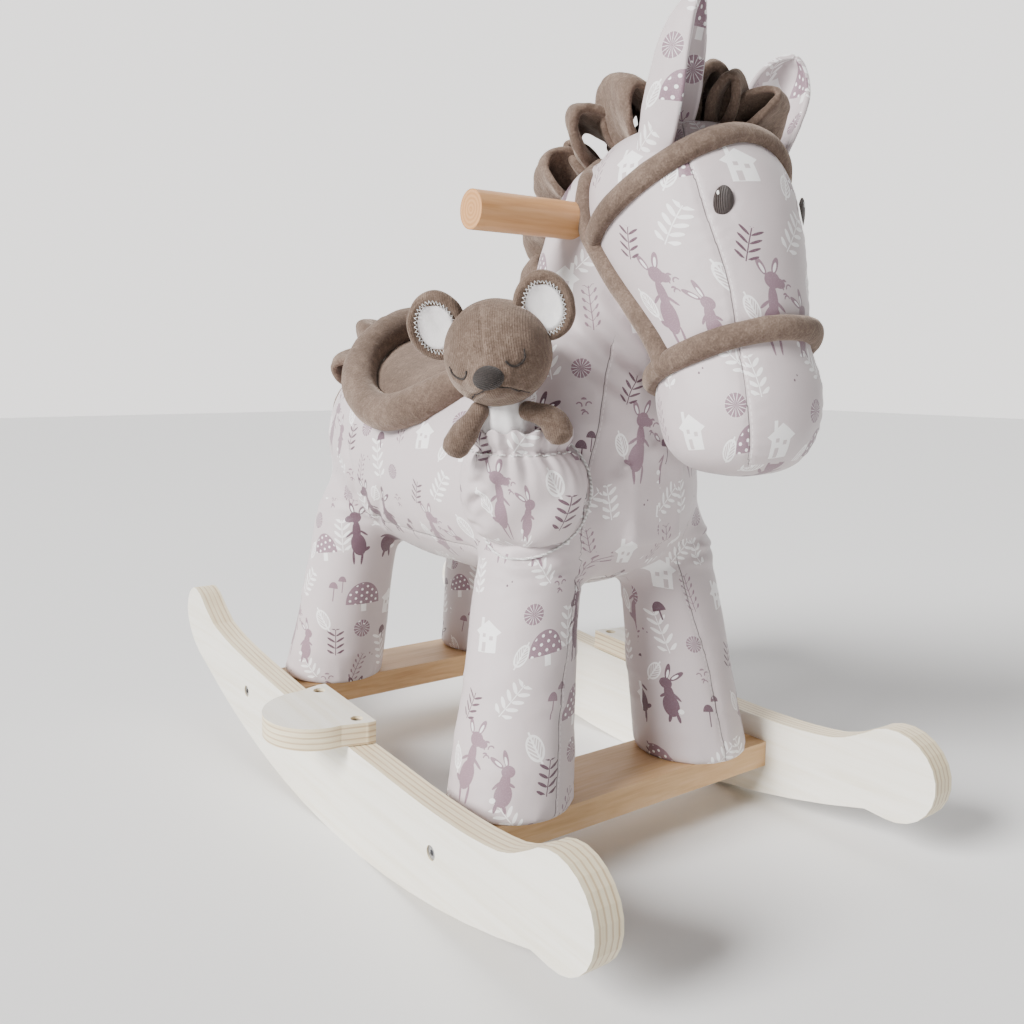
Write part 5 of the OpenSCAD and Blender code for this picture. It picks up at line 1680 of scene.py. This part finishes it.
# ---- wooden and metal pieces keep their CAD shape ----
def cad_looks():
    look = {"rocker_right": M_ROCK, "rocker_left": M_ROCK, "footrest_right": M_FOOT, "footrest_left": M_FOOT, "front_cross_board": M_OAK, "rear_cross_board": M_OAK,
            "handle": M_BEECH, "board_dowels": M_PINE, "front_leg_posts": M_PINE, "rear_leg_posts": M_PINE, "body_board": M_PINE, "neck_post": M_PINE, "eyes": M_EYE}
    for name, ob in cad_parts.items():
        if name in look:
            give(ob, look[name])
        elif ob.name.startswith(("footrest_screws", "rocker_bolts", "barrel_nuts", "post_bolts", "body_board_screws", "neck_post_screws", "handle_screw")):
            give(ob, M_STEEL)
    for name, w in (("rocker_right", 0.0011), ("rocker_left", 0.0011), ("footrest_right", 0.0010), ("footrest_left", 0.0010), ("front_cross_board", 0.0016), ("rear_cross_board", 0.0016), ("handle", 0.0022)):
        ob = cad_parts[name]
        bv = ob.modifiers.new("edge", "BEVEL")
        bv.width = w
        bv.segments = 3
        bv.limit_method = "ANGLE"
        bv.angle_limit = math.radians(40)
        bv.harden_normals = False


COVER = body_cover()
head_cover()
ears()
eye_glints()
mane_all()
saddle()
bridle()
pocket()
pocket_ring(COVER)
mouse_all()
cad_looks()

# ------------------------------------------------------------------ room
WORLD = (0.10, 1.9)


def room():
    me = bpy.data.meshes.new("floor")
    s = 6.0
    me.from_pydata([(-s, -s, 0), (s, -s, 0), (s, s, 0), (-s, s, 0)], [], [(0, 1, 2, 3)])
    me.update()
    fl = bpy.data.objects.new("floor", me)
    scene.collection.objects.link(fl)
    m, nt, b = new_mat("floor_paper", (0.82, 0.82, 0.82), 0.9)
    b.inputs["Specular IOR Level"].default_value = 0.1
    give(fl, m)
    w = bpy.data.worlds.new("world")
    scene.world = w
    w.use_nodes = True
    nt = w.node_tree
    bg = nt.nodes["Background"]
    net = Net(nt)
    tc = nt.nodes.new("ShaderNodeTexCoord")
    # a bright backdrop on one side of the studio, a dimmer room on the other
    d = net.vm("DOT_PRODUCT", tc.outputs["Generated"], (0.583, 0.812, 0.0))
    k = nt.nodes.new("ShaderNodeMapRange")
    k.interpolation_type = "SMOOTHSTEP"
    net.put(k.inputs["Value"], d)
    k.inputs["From Min"].default_value = 0.15
    k.inputs["From Max"].default_value = 0.75
    k.inputs["To Min"].default_value = WORLD[0]
    k.inputs["To Max"].default_value = WORLD[1]
    bg.inputs[0].default_value = (1.0, 0.975, 0.955, 1)
    # the backdrop itself is pale wherever it is looked at, as the photograph's is
    lp = nt.nodes.new("ShaderNodeLightPath")
    mx = nt.nodes.new("ShaderNodeMix")
    nt.links.new(lp.outputs["Is Camera Ray"], mx.inputs[0])
    nt.links.new(k.outputs[0], mx.inputs[2])
    mx.inputs[3].default_value = WORLD[1]
    nt.links.new(mx.outputs[0], bg.inputs[1])

    def area(name, loc, aim, size, power, col=(1, 1, 1)):
        la = bpy.data.lights.new(name, "AREA")
        la.shape = "RECTANGLE"
        la.size, la.size_y = size
        la.energy = power
        la.color = col
        ob = bpy.data.objects.new(name, la)
        scene.collection.objects.link(ob)
        ob.location = loc
        ob.rotation_euler = (Vector(aim) - Vector(loc)).to_track_quat("-Z", "Y").to_euler()

    su = bpy.data.lights.new("key", "SUN")  # a large, far window light on the camera's left
    su.energy = 7.6
    su.angle = math.radians(24)
    su.color = (1.0, 0.99, 0.975)
    ob = bpy.data.objects.new("key", su)
    scene.collection.objects.link(ob)
    ob.rotation_euler = Vector((0.86, 0.03, -0.50)).to_track_quat("-Z", "Y").to_euler()
    area("fill", (0.4, -2.6, 1.0), (0, 0, 0.25), (1.4, 1.0), 2.5)
    area("top", (-0.2, 0.5, 2.3), (0, 0, 0.2), (1.6, 1.6), 7)


room()
